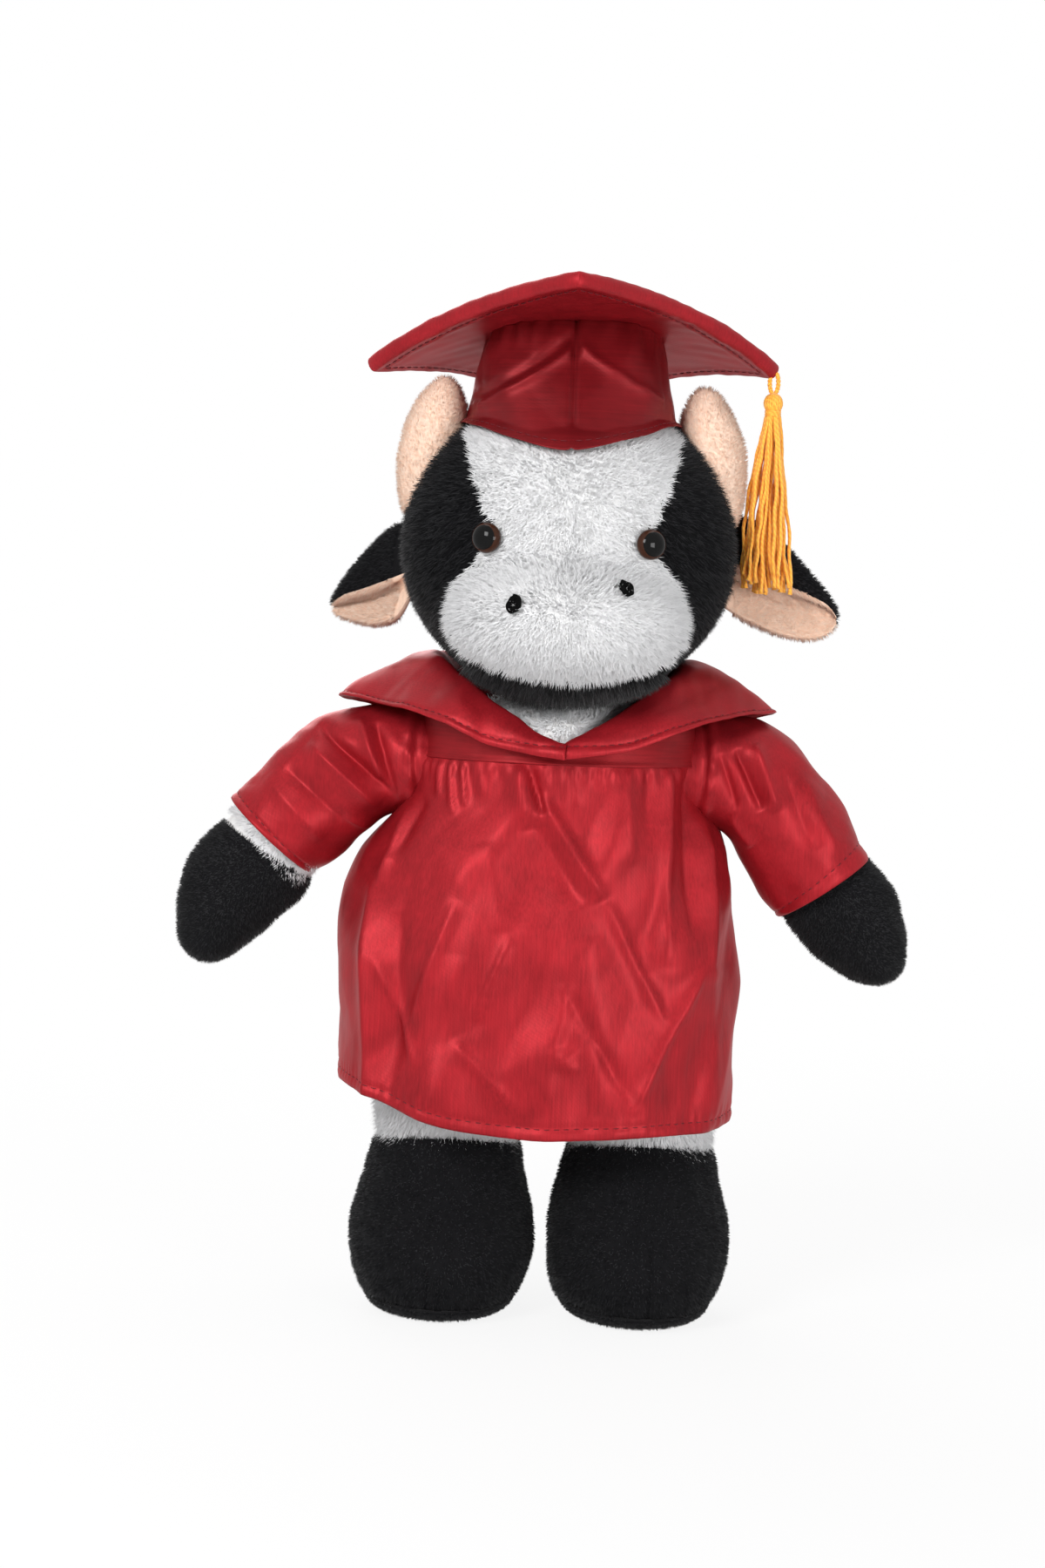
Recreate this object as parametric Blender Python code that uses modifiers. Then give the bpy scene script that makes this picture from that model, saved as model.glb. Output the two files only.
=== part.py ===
"""A standing plush cow in a graduation gown and a mortarboard cap.

The cow faces -Y and stands on its soles at z = 0. Its own left side is +X.
Fabric skins are closed sheets with thickness, each round its own stuffing.
"""
import math

import bmesh
import bpy
import numpy as np
from mathutils import Matrix, Vector

mm = 0.001

# Clearances and fabric thicknesses
gap = 0.3 * mm
stuffing_gap = 0.9 * mm
overrun = 20 * mm
weld_distance = 0.01 * mm
skull_gap = 0.5 * mm
plush = 3.0 * mm
minky = 2.4 * mm
satin = 1.2 * mm

# Centring of the whole toy over the origin
shift_x = 4.0 * mm
shift_y = -3.1 * mm

# Legs and boots
sole_thickness = 2.6 * mm
sole_half_width = 27.5 * mm
sole_half_length = 37.5 * mm
boot_height = 50 * mm
boot_half_width = 29.8 * mm
boot_half_length = 40 * mm
hip_spread = 32 * mm
hip_height = 86 * mm
hip_radius = 26.8 * mm
hip_clearance = 1.0 * mm
leg_waist_share = 0.95

# Torso
torso_base = 84 * mm
neck_height = 204 * mm
neck_radius = 21 * mm
torso_half_width = 50 * mm
torso_half_depth = 39 * mm

# Arms, each from the shoulder by way of the cuff to the middle of the hoof
armhole_x = 48 * mm
shoulder_drop = 26 * mm
shoulder_radius = 13.2 * mm
arm_radius = 13.4 * mm
hoof_radius = 15 * mm
right_cuff_out = 44.6 * mm
right_cuff_down = 26.9 * mm
right_hoof_out = 62.6 * mm
right_hoof_down = 52.0 * mm
left_cuff_out = 40.2 * mm
left_cuff_down = 35.5 * mm
left_hoof_out = 54.2 * mm
left_hoof_down = 51.0 * mm
wrist_showing = 5 * mm

# Gown
sleeve_radius = 19.7 * mm
cuff_half_width = 20.0 * mm
cuff_half_depth = 17.5 * mm
hem_height = 66 * mm
hem_slant = 4.5 * mm
yoke_seam_drop = 22 * mm
gown_half_width = 64.5 * mm
hem_shift = 2.5 * mm
gown_half_depth = 52 * mm
gown_top_drop = 2.5 * mm
gown_neck_radius = 32.5 * mm
neckline_half_width = 29 * mm
neckline_drop = 17 * mm
fold_depth = 3.2 * mm
collar_reach = 73 * mm
collar_depth = 44 * mm
collar_rise = 10 * mm
collar_drop = 32.5 * mm
collar_thickness = 1.4 * mm

# Head
head_lift = 46.7 * mm
head_half_width = 55 * mm
head_half_depth = 52 * mm
head_half_height = 51 * mm
muzzle_half_width = 39 * mm
muzzle_half_depth = 34 * mm
muzzle_half_height = 23.5 * mm
muzzle_forward = 38 * mm
muzzle_drop = 26 * mm
muzzle_blend = 4 * mm
neck_cut_radius = 27 * mm
blaze_half_width = 34.5 * mm
blaze_top = 45 * mm

# Eyes and nostrils
eye_spread = 26 * mm
eye_rise = 2.2 * mm
eye_radius = 5.3 * mm
eye_dome = 3.6 * mm
eye_seat_lift = 2.0 * mm
stem_radius = 1.9 * mm
stem_length = 10.5 * mm
washer_radius = 5.2 * mm
washer_thickness = 1.2 * mm
nostril_spread = 17.5 * mm
nostril_drop = 14.5 * mm
nostril_half_width = 2.1 * mm
nostril_half_height = 3.3 * mm
nostril_thickness = 1.2 * mm

# Horns and ears
horn_spread = 45.9 * mm
horn_back = 5 * mm
horn_radius = 12.1 * mm
horn_foot = 16 * mm
horn_length = 33 * mm
horn_tip_radius = 7 * mm
horn_lean = 2 * mm
ear_hinge_back = 20 * mm
ear_length = 38 * mm
ear_height = 40 * mm
ear_top = 11 * mm
ear_back_thickness = 2.4 * mm
ear_lining_thickness = 1.8 * mm
ear_root_radius = 2.2 * mm
ear_left_sweep = 8
ear_right_sweep = 48

# Cap
cap_tilt = 9.8
cap_forward = 4 * mm
crown_half_width = 33.4 * mm
crown_half_depth = 36.2 * mm
crown_thickness = 2.0 * mm
crown_foot = 18 * mm
board_half_diagonal = 70 * mm
board_rise = 75.6 * mm
board_droop = 17 * mm
board_droop_power = 2.6
board_nose_droop = 3.5 * mm
insert_thickness = 2.4 * mm
cover_thickness = 1.2 * mm
insert_margin = 2 * mm

# Tassel
tassel_inset = 1.5 * mm
loop_radius = 1.7 * mm
loop_cord_radius = 0.6 * mm
knot_radius = 2.9 * mm
strand_length = 60 * mm
strand_top_radius = 2.9 * mm
strand_half_width = 9.3 * mm
strand_half_depth = 5.6 * mm
strand_ridge = 0.35 * mm
strand_ridges = 12

# Shares along each form: how far along, half width, half depth
torso_shares = (
    (0.00, 0.55, 0.52), (0.03, 0.80, 0.78), (0.09, 0.94, 0.92), (0.20, 1.00, 1.00),
    (0.39, 0.97, 0.98), (0.59, 0.89, 0.90), (0.76, 0.86, 0.86), (0.87, 0.82, 0.82),
    (0.93, 0.70, 0.73), (0.975, 0.53, 0.61))
gown_shares = (
    (0.00, 1.03, 1.03), (0.22, 0.98, 0.98), (0.45, 0.90, 0.93), (0.60, 0.795, 0.88),
    (0.66, 0.73, 0.85), (0.71, 0.73, 0.82), (0.80, 0.73, 0.80), (0.89, 0.73, 0.775),
    (0.95, 0.705, 0.75), (0.98, 0.625, 0.70), (1.00, 0.53, 0.655))
boot_shares = (
    (0.00, 0.930, 0.940, -0.240), (0.08, 0.985, 0.990, -0.240), (0.25, 1.000, 1.000, -0.240),
    (0.50, 0.990, 0.940, -0.215), (0.72, 0.950, 0.800, -0.120), (0.88, 0.915, 0.690, -0.040),
    (1.00, 0.900, 0.670, -0.020))
blaze_shares = (
    (0.99, 1.00), (0.99, 0.80), (0.91, 0.44), (0.70, 0.15), (0.62, 0.00), (0.82, -0.20),
    (1.02, -0.36), (1.10, -0.62), (1.09, -0.90), (0.98, -1.20), (0.70, -1.50), (0.00, -1.68))
ear_shares = (
    (0.00, 0.00), (0.30, -0.04), (0.70, -0.42), (1.00, -0.80), (0.92, -0.96), (0.62, -1.00),
    (0.30, -0.92), (0.00, -0.80))
ear_lining_shares = (
    (0.09, -0.47), (0.50, -0.56), (0.90, -0.80), (0.84, -0.92), (0.60, -0.95), (0.30, -0.88),
    (0.09, -0.76))
# Shares of the collar's reach, depth and drop at its seam, its fold and its edge, from back to front
collar_shares = (
    ((0.000, 0.75, 0.33), (0.000, 0.86, 0.00), (0.000, 1.06, 0.80)),
    ((0.225, 0.69, 0.33), (0.270, 0.80, 0.00), (0.360, 0.98, 0.74)),
    ((0.400, 0.42, 0.33), (0.500, 0.48, 0.00), (0.760, 0.56, 0.58)),
    ((0.450, 0.00, 0.33), (0.580, 0.00, 0.00), (1.000, 0.02, 0.44)),
    ((0.400, -0.45, 0.34), (0.530, -0.43, 0.20), (0.800, -0.42, 0.56)),
    ((0.250, -0.84, 0.50), (0.315, -0.83, 0.43), (0.520, -0.88, 0.75)),
    ((0.110, -0.96, 0.76), (0.130, -0.96, 0.68), (0.210, -1.02, 0.93)),
    ((0.006, -1.00, 0.90), (0.006, -1.00, 0.86), (0.006, -1.04, 1.02)))

# Segment counts
round_segments = 20
limb_segments = 12
gown_segments = 36
sleeve_segments = 14
head_segments = 24
head_rings = 14
small_segments = 12
board_cells = 8
collar_rows_count = 11

# Heights above the soles and places worked out from the sizes above
shoulder_height = neck_height - shoulder_drop
yoke_seam_height = neck_height - yoke_seam_drop
gown_top = neck_height - gown_top_drop
neckline_bottom = neck_height - neckline_drop
collar_top = neck_height + collar_rise
head_centre = Vector((0, 0, neck_height + head_lift))
tilt = math.radians(cap_tilt)
cap_origin = head_centre + Vector((0, -cap_forward, 0))
cap_up = Vector((0, math.sin(tilt), math.cos(tilt)))
cap_front = Vector((0, -math.cos(tilt), math.sin(tilt)))
shoulder = {"left": Vector((armhole_x, 0, shoulder_height)),
            "right": Vector((-armhole_x, 0, shoulder_height))}
side_sign = {"left": 1, "right": -1}


def clear_scene():
    for item in list(bpy.data.objects):
        bpy.data.objects.remove(item, do_unlink=True)


def new_collection(name):
    group = bpy.data.collections.new(name)
    bpy.context.scene.collection.children.link(group)
    return group


def paint(name, colour, roughness, metallic=0.0):
    material = bpy.data.materials.new(name)
    material.use_nodes = True
    shader = material.node_tree.nodes["Principled BSDF"]
    shader.inputs["Base Color"].default_value = (*colour, 1)
    shader.inputs["Roughness"].default_value = roughness
    shader.inputs["Metallic"].default_value = metallic
    return material


def pivot(name, place, parent):
    """An empty that stands on a joint's axis"""
    empty = bpy.data.objects.new(name, None)
    cow.objects.link(empty)
    empty.location = place - (parent["place"] if parent else Vector())
    empty.parent = parent["empty"] if parent else None
    return {"empty": empty, "place": place}


def piece(name, mesh, material, body):
    """A named sub-part, its origin on the joint of the body that carries it"""
    mesh.transform(Matrix.Translation(-body["place"]))
    mesh.materials.clear()
    mesh.materials.append(material)
    mesh.shade_smooth()
    mesh.set_sharp_from_angle(angle=math.radians(40))
    item = bpy.data.objects.new(name, mesh)
    cow.objects.link(item)
    item.parent = body["empty"]
    return item


def cutter(name, mesh):
    item = bpy.data.objects.new(name, mesh)
    cutters.objects.link(item)
    item.parent = stand["empty"]
    item.hide_render = True
    item.display_type = "WIRE"
    return item


def combine(item, tool, operation="DIFFERENCE"):
    modifier = item.modifiers.new(tool.name, "BOOLEAN")
    modifier.object = tool
    modifier.operation = operation


def mesh_from(bm, name):
    bmesh.ops.recalc_face_normals(bm, faces=bm.faces)
    mesh = bpy.data.meshes.new(name)
    bm.to_mesh(mesh)
    bm.free()
    return mesh


def joined(name, meshes):
    """Several separate meshes as one cutter"""
    bm = bmesh.new()
    for mesh in meshes:
        bm.from_mesh(mesh)
        bpy.data.meshes.remove(mesh)
    return mesh_from(bm, name)


def bridge(bm, first, second):
    """Quads between two rings of as many vertices"""
    count = len(first)
    for i in range(count):
        j = (i + 1) % count
        bm.faces.new((first[i], first[j], second[j], second[i]))


def loft(name, rings):
    """A closed form through a stack of rings, with a flat cap at both ends"""
    bm = bmesh.new()
    rows = [[bm.verts.new(point) for point in ring] for ring in rings]
    for low, high in zip(rows, rows[1:]):
        bridge(bm, low, high)
    bm.faces.new(rows[0])
    bm.faces.new(rows[-1])
    return mesh_from(bm, name)


def bag(name, outer, inner):
    """A skin open at its first ring and closed at its last"""
    bm = bmesh.new()
    outside = [[bm.verts.new(point) for point in ring] for ring in outer]
    inside = [[bm.verts.new(point) for point in ring] for ring in inner]
    for rows in (outside, inside):
        for low, high in zip(rows, rows[1:]):
            bridge(bm, low, high)
        bm.faces.new(rows[-1])
    bridge(bm, outside[0], inside[0])
    return mesh_from(bm, name)


def open_tube(name, outer, inner):
    """A skin open at both ends"""
    bm = bmesh.new()
    outside = [[bm.verts.new(point) for point in ring] for ring in outer]
    inside = [[bm.verts.new(point) for point in ring] for ring in inner]
    for rows in (outside, inside):
        for low, high in zip(rows, rows[1:]):
            bridge(bm, low, high)
    bridge(bm, outside[0], inside[0])
    bridge(bm, outside[-1], inside[-1])
    return mesh_from(bm, name)


def smooth_rows(table, count):
    """Rows read evenly along a Catmull-Rom curve through a table's rows"""
    table = np.array(table, float)
    last = len(table) - 1
    rows = []
    for place in np.linspace(0, last, count):
        i = min(int(place), last - 1)
        t = place - i
        before, here, after, beyond = (table[max(0, min(last, k))] for k in (i - 1, i, i + 1, i + 2))
        rows.append(0.5 * (2 * here + (after - before) * t
                           + (2 * before - 5 * here + 4 * after - beyond) * t ** 2
                           + (3 * here - before - 3 * after + beyond) * t ** 3))
    return rows


def oval(centre, across, along, half_across, half_along, segments):
    """A ring of points on an ellipse with the given axes"""
    angles = [2 * math.pi * i / segments for i in range(segments)]
    return [centre + across * half_across * math.cos(a) + along * half_along * math.sin(a)
            for a in angles]


def cylinder(name, start, end, radius, segments=32):
    """A round bar between two points"""
    axis = end - start
    bm = bmesh.new()
    bmesh.ops.create_cone(bm, cap_ends=True, segments=segments, radius1=radius, radius2=radius,
                          depth=axis.length)
    turn = Vector((0, 0, 1)).rotation_difference(axis).to_matrix().to_4x4()
    bm.transform(Matrix.Translation((start + end) / 2) @ turn)
    return mesh_from(bm, name)


def box(name, low, high):
    bm = bmesh.new()
    bmesh.ops.create_cube(bm, size=1)
    size = high - low
    bm.transform(Matrix.Translation((low + high) / 2) @ Matrix.Diagonal((*size, 1)))
    return mesh_from(bm, name)


def ball(name, centre, radii, segments, rings):
    bm = bmesh.new()
    bmesh.ops.create_uvsphere(bm, u_segments=segments, v_segments=rings, radius=1)
    bm.transform(Matrix.Translation(centre) @ Matrix.Diagonal((*radii, 1)))
    return mesh_from(bm, name)


def head_radius(directions, inset):
    """How far the head's surface lies from its centre, along unit directions

    The surface is where a smooth minimum of two ellipsoids' distances is zero:
    the round head and the wide muzzle low on its front.
    """
    head_radii = np.array((head_half_width, head_half_depth, head_half_height)) - inset
    muzzle_radii = np.array((muzzle_half_width, muzzle_half_depth, muzzle_half_height)) - inset
    muzzle_centre = np.array((0, -muzzle_forward, -muzzle_drop))
    low = np.zeros(len(directions))
    high = np.full(len(directions), 2 * head_half_width)
    for _ in range(40):
        middle = (low + high) / 2
        points = directions * middle[:, None]
        head = (np.linalg.norm(points / head_radii, axis=1) - 1) * head_radii.mean()
        muzzle = np.linalg.norm((points - muzzle_centre) / muzzle_radii, axis=1) - 1
        muzzle = muzzle * muzzle_radii.mean()
        nearest = np.minimum(head, muzzle)
        joined = nearest - muzzle_blend * np.log(1 + np.exp(-np.abs(head - muzzle) / muzzle_blend))
        low = np.where(joined < 0, middle, low)
        high = np.where(joined < 0, high, middle)
    return (low + high) / 2


def head_form(name, inset, segments, rings):
    """A sphere whose points are moved out along their own directions to the head's surface"""
    bm = bmesh.new()
    bmesh.ops.create_uvsphere(bm, u_segments=segments, v_segments=rings, radius=1)
    directions = np.array([vertex.co for vertex in bm.verts])
    for vertex, reach in zip(bm.verts, head_radius(directions, inset)):
        vertex.co = head_centre + vertex.co * float(reach)
    bmesh.ops.triangulate(bm, faces=bm.faces, quad_method="FIXED")
    return mesh_from(bm, name)


def head_front_point(x, z, inset=0.0):
    """The head's surface straight ahead of a place in the front view"""
    low, high = 0.0, 2 * head_half_depth
    for _ in range(40):
        middle = (low + high) / 2
        offset = Vector((x, -middle, z))
        inside = offset.length < float(head_radius(np.array(offset.normalized())[None], inset)[0])
        low, high = (middle, high) if inside else (low, middle)
    return head_centre + Vector((x, -low, z))


def skull_normal(place):
    """The outward direction of the round head, without its muzzle, at a place on it"""
    offset = place - head_centre
    return Vector((offset.x / head_half_width ** 2, offset.y / head_half_depth ** 2,
                   offset.z / head_half_height ** 2)).normalized()


def muzzle_normal(place):
    """The outward direction of the muzzle at a place on it"""
    offset = place - head_centre + Vector((0, muzzle_forward, muzzle_drop))
    return Vector((offset.x / muzzle_half_width ** 2, offset.y / muzzle_half_depth ** 2,
                   offset.z / muzzle_half_height ** 2)).normalized()


def turned(name, profile, segments, place, axis):
    """A closed profile of (radius, height) turned about its own axis by a Screw modifier"""
    bm = bmesh.new()
    points = [bm.verts.new((radius, 0, height)) for radius, height in profile]
    for first, second in zip(points, points[1:]):
        bm.edges.new((first, second))
    mesh = bpy.data.meshes.new(name)
    bm.to_mesh(mesh)
    bm.free()
    item = bpy.data.objects.new(name, mesh)
    cow.objects.link(item)
    screw = item.modifiers.new("turn", "SCREW")
    screw.steps = screw.render_steps = segments
    screw.use_merge_vertices = True
    screw.merge_threshold = weld_distance
    weld = item.modifiers.new("weld", "WELD")
    weld.merge_threshold = weld_distance
    solid = bpy.data.meshes.new_from_object(item.evaluated_get(bpy.context.evaluated_depsgraph_get()))
    bpy.data.objects.remove(item, do_unlink=True)
    turn = Vector((0, 0, 1)).rotation_difference(axis).to_matrix().to_4x4()
    solid.transform(Matrix.Translation(place) @ turn)
    bm = bmesh.new()
    bm.from_mesh(solid)
    return mesh_from(bm, name)


def outline_plate(name, points, half_thickness):
    """A flat closed outline filled and extruded, lying in its own XY plane"""
    curve = bpy.data.curves.new(name, "CURVE")
    curve.dimensions = "2D"
    curve.fill_mode = "BOTH"
    curve.extrude = half_thickness
    spline = curve.splines.new("POLY")
    spline.points.add(len(points) - 1)
    for slot, (x, y) in zip(spline.points, points):
        slot.co = (x, y, 0, 1)
    spline.use_cyclic_u = True
    item = bpy.data.objects.new(name, curve)
    cow.objects.link(item)
    bpy.context.view_layer.update()
    mesh = bpy.data.meshes.new_from_object(item.evaluated_get(bpy.context.evaluated_depsgraph_get()))
    bpy.data.objects.remove(item, do_unlink=True)
    bm = bmesh.new()
    bm.from_mesh(mesh)
    bmesh.ops.remove_doubles(bm, verts=bm.verts, dist=weld_distance)
    return mesh_from(bm, name)


def grid_sheet(name, rows, thickness):
    """A sheet through rows of points, thickened evenly to both sides with Solidify"""
    bm = bmesh.new()
    grid = [[bm.verts.new(point) for point in row] for row in rows]
    for low, high in zip(grid, grid[1:]):
        for i in range(len(low) - 1):
            bm.faces.new((low[i], low[i + 1], high[i + 1], high[i]))
    mesh = mesh_from(bm, name)
    item = bpy.data.objects.new(name, mesh)
    cow.objects.link(item)
    solid = item.modifiers.new("thickness", "SOLIDIFY")
    solid.thickness = thickness
    solid.offset = 0
    thick = bpy.data.meshes.new_from_object(item.evaluated_get(bpy.context.evaluated_depsgraph_get()))
    bpy.data.objects.remove(item, do_unlink=True)
    bm = bmesh.new()
    bm.from_mesh(thick)
    return mesh_from(bm, name)


clear_scene()
cow = new_collection("graduate_cow")
cutters = new_collection("graduate_cow_cutters")
bpy.context.scene.unit_settings.system = "METRIC"

white_plush = paint("white_plush", (0.86, 0.85, 0.82), 0.95)
black_plush = paint("black_plush", (0.020, 0.020, 0.023), 0.95)
black_minky = paint("black_minky", (0.018, 0.018, 0.020), 0.85)
peach_plush = paint("peach_plush", (0.80, 0.56, 0.42), 0.9)
red_satin = paint("red_satin", (0.36, 0.016, 0.032), 0.38)
stiff_board = paint("stiff_board", (0.55, 0.50, 0.42), 0.9)
gloss_black = paint("gloss_black", (0.01, 0.009, 0.008), 0.08)
gold_cord = paint("gold_cord", (0.90, 0.42, 0.03), 0.6)
fibre_fill = paint("fibre_fill", (0.9, 0.9, 0.9), 1.0)
washer_plastic = paint("washer_plastic", (0.7, 0.7, 0.7), 0.4)

stand = pivot("stand", Vector((0, 0, 0)), None)
stand["empty"].location = (shift_x, shift_y, 0)
neck_pivot = pivot("neck_pivot", Vector((0, 0, neck_height)), stand)


def torso_ring(row, inset):
    """One level of the torso, drawn in by an inset on every side"""
    along, width, depth = row
    top = neck_height - torso_base - 2 * inset
    height = torso_base + inset + float(along) * top
    return oval(Vector((0, 0, height)), Vector((1, 0, 0)), Vector((0, 1, 0)),
                width * torso_half_width - inset, depth * torso_half_depth - inset, round_segments)


def torso_form(name, inset):
    rows = smooth_rows(torso_shares, 9)
    rows.append(np.array((1.0, neck_radius / torso_half_width, neck_radius / torso_half_depth)))
    return loft(name, [torso_ring(row, inset) for row in rows])


def shoulder_bar(name, radius, reach):
    return cylinder(name, Vector((-reach, 0, shoulder_height)), Vector((reach, 0, shoulder_height)),
                    radius, 16)


def make_torso():
    skin = piece("torso_skin", torso_form("torso_skin", 0.0), white_plush, stand)
    combine(skin, cutter("torso_shoulders", shoulder_bar("torso_shoulders", shoulder_radius, armhole_x)),
            "UNION")
    combine(skin, cutter("torso_hollow", torso_form("torso_hollow", plush)))
    combine(skin, cutter("shoulder_hollow", shoulder_bar("shoulder_hollow", shoulder_radius - plush,
                                                         armhole_x - plush)))
    fill = plush + stuffing_gap
    stuffing = piece("torso_stuffing", torso_form("torso_stuffing", fill), fibre_fill, stand)
    combine(stuffing, cutter("shoulder_fill", shoulder_bar("shoulder_fill", shoulder_radius - fill,
                                                           armhole_x - fill)), "UNION")
    sockets = [ball(f"hip_socket_{side}", Vector((sign * hip_spread, 0, hip_height)),
                    [hip_radius + hip_clearance] * 3, 18, 13) for side, sign in side_sign.items()]
    socket_pair = cutter("hip_sockets", joined("hip_sockets", sockets))
    combine(skin, socket_pair)
    combine(stuffing, socket_pair)


def leg_ring(height, radius, centre_x):
    return oval(Vector((centre_x, 0, height)), Vector((1, 0, 0)), Vector((0, 1, 0)), radius, radius,
                limb_segments)


def leg_rings(centre_x, inset, foot):
    """Rings from the boot's top up the leg and over the ball of the hip"""
    cuff_radius = boot_shares[-1][1] * boot_half_width - inset
    radius = hip_radius - inset
    waist_radius = hip_radius * leg_waist_share - inset
    rings = [leg_ring(foot, cuff_radius, centre_x),
             leg_ring((foot + hip_height) / 2, waist_radius, centre_x)]
    for angle in (0, 22, 44, 64, 80):
        turn = math.radians(angle)
        rings.append(leg_ring(hip_height + radius * math.sin(turn), radius * math.cos(turn), centre_x))
    return rings


def boot_rings(centre_x, inset, low, high):
    """Rings from the sole up the swelling foot to the boot's top"""
    rings = []
    for along, width, length, forward in smooth_rows(boot_shares, 6):
        height = low + float(along) * (high - low)
        centre = Vector((centre_x, forward * boot_half_length, height))
        rings.append(oval(centre, Vector((1, 0, 0)), Vector((0, 1, 0)), width * boot_half_width - inset,
                          length * boot_half_length - inset, limb_segments + 4))
    return rings


def make_leg(side):
    sign = side_sign[side]
    centre_x = sign * hip_spread
    body = pivot(f"hip_{side}", Vector((centre_x, 0, hip_height)), stand)
    boot_foot = sole_thickness + gap
    fill = plush + stuffing_gap
    sole_centre = Vector((centre_x, boot_shares[0][3] * boot_half_length, sole_thickness / 2))
    sole = loft(f"sole_{side}", [
        oval(sole_centre + Vector((0, 0, z)), Vector((1, 0, 0)), Vector((0, 1, 0)),
             sole_half_width - draw, sole_half_length - draw, limb_segments + 4)
        for z, draw in ((-sole_thickness / 2, sole_thickness / 2), (0.0, 0.0),
                        (sole_thickness / 2, sole_thickness / 2))])
    piece(f"sole_{side}", sole, black_minky, body)
    piece(f"boot_{side}", open_tube(f"boot_{side}", boot_rings(centre_x, 0.0, boot_foot, boot_height),
                                      boot_rings(centre_x, minky, boot_foot, boot_height)),
          black_minky, body)
    leg_foot = boot_height + gap
    piece(f"leg_{side}", bag(f"leg_{side}", leg_rings(centre_x, 0.0, leg_foot),
                             leg_rings(centre_x, plush, leg_foot)), white_plush, body)
    foot_fill = boot_rings(centre_x, minky + stuffing_gap, sole_thickness + stuffing_gap, boot_height)[:-1]
    stuffing = piece(f"leg_stuffing_{side}", loft(f"leg_stuffing_{side}", foot_fill), fibre_fill, body)
    ankle_radius = boot_shares[-1][1] * boot_half_width - fill
    leg_fill = [leg_ring(foot_fill[-2][0].z, ankle_radius, centre_x)] + leg_rings(centre_x, fill, leg_foot)[1:]
    combine(stuffing, cutter(f"leg_fill_{side}", loft(f"leg_fill_{side}", leg_fill)), "UNION")


def arm_path(side):
    """The arm's middle line: shoulder, cuff, middle of the hoof, and the hoof's direction"""
    sign = side_sign[side]
    start = shoulder[side]
    if side == "left":
        cuff = start + Vector((left_cuff_out, 0, -left_cuff_down))
        hoof = start + Vector((left_hoof_out, 0, -left_hoof_down))
    else:
        cuff = start + Vector((-right_cuff_out, 0, -right_cuff_down))
        hoof = start + Vector((-right_hoof_out, 0, -right_hoof_down))
    return start + Vector((sign * gap, 0, 0)), cuff, hoof


def ring_across(centre, normal, half_across, half_depth, segments):
    """A ring square to a direction that lies in the XZ plane"""
    along = Vector((0, 1, 0))
    across = along.cross(normal).normalized()
    return oval(centre, across, along, half_across, half_depth, segments)


def arm_rings(side, inset):
    """Rings from the shoulder plane down the arm to its wrist"""
    start, cuff, hoof = arm_path(side)
    sign = side_sign[side]
    down = (hoof - cuff).normalized()
    wrist = cuff + down * wrist_showing
    outward = Vector((sign, 0, 0))
    rings = []
    for share in (0.0, 0.18, 0.42, 0.7, 1.0):
        centre = start.lerp(wrist, share) + outward * inset * (1 - share)
        slant = (wrist - start).normalized()
        normal = outward.lerp(slant, min(1, share / 0.42)) if share < 0.42 else slant.lerp(down, share)
        radius = shoulder_radius + (arm_radius - shoulder_radius) * share
        rings.append(ring_across(centre, normal.normalized(), radius - inset, radius - inset,
                                 limb_segments))
    return rings


def hoof_rings(side, inset, start_gap):
    """Rings from the wrist over the swelling hoof to its round end"""
    _, cuff, hoof = arm_path(side)
    down = (hoof - cuff).normalized()
    wrist = cuff + down * (wrist_showing + start_gap)
    rings = [ring_across(wrist, down, arm_radius - inset, arm_radius - inset, limb_segments),
             ring_across(wrist.lerp(hoof, 0.5), down, (arm_radius + hoof_radius) / 2 + gap - inset,
                         (arm_radius + hoof_radius) / 2 + gap - inset, limb_segments)]
    radius = hoof_radius - inset
    for angle in (0, 24, 46, 66, 82):
        turn = math.radians(angle)
        rings.append(ring_across(hoof + down * radius * math.sin(turn), down, radius * math.cos(turn),
                                 radius * math.cos(turn), limb_segments))
    return rings


def sleeve_rings(side, inset):
    """Rings from the armhole down the wide sleeve to the cuff, with three soft creases"""
    start, cuff, hoof = arm_path(side)
    sign = side_sign[side]
    down = (hoof - cuff).normalized()
    outward = Vector((sign, 0, 0))
    rings = []
    for share in (0.0, 0.15, 0.32, 0.5, 0.68, 0.85, 1.0):
        centre = start.lerp(cuff, share)
        normal = outward.lerp(down, share ** 0.8).normalized()
        across = sleeve_radius + (cuff_half_width - sleeve_radius) * share
        depth = sleeve_radius + (cuff_half_depth - sleeve_radius) * share
        crease = 0.25 * fold_depth * math.sin(math.pi * share)
        ring = []
        for i, point in enumerate(ring_across(centre, normal, across - inset, depth - inset,
                                              sleeve_segments)):
            angle = 2 * math.pi * i / sleeve_segments
            wave = crease * math.cos(3 * angle + 5 * share)
            ring.append(point + (point - centre).normalized() * (wave - crease))
        rings.append(ring)
    return rings


def make_arm(side):
    body = pivot(f"shoulder_{side}", shoulder[side], stand)
    outer = list(reversed(arm_rings(side, 0.0)))
    inner = list(reversed(arm_rings(side, plush)))
    piece(f"arm_{side}", bag(f"arm_{side}", outer, inner), white_plush, body)
    piece(f"hoof_{side}", bag(f"hoof_{side}", hoof_rings(side, 0.0, gap), hoof_rings(side, minky, gap)),
          black_minky, body)
    fill = plush + stuffing_gap
    rings = arm_rings(side, fill)[:-1] + hoof_rings(side, fill, gap)
    piece(f"arm_stuffing_{side}", loft(f"arm_stuffing_{side}", rings), fibre_fill, body)
    piece(f"gown_sleeve_{side}", open_tube(f"gown_sleeve_{side}", sleeve_rings(side, 0.0),
                                             sleeve_rings(side, satin)), red_satin, body)


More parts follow.
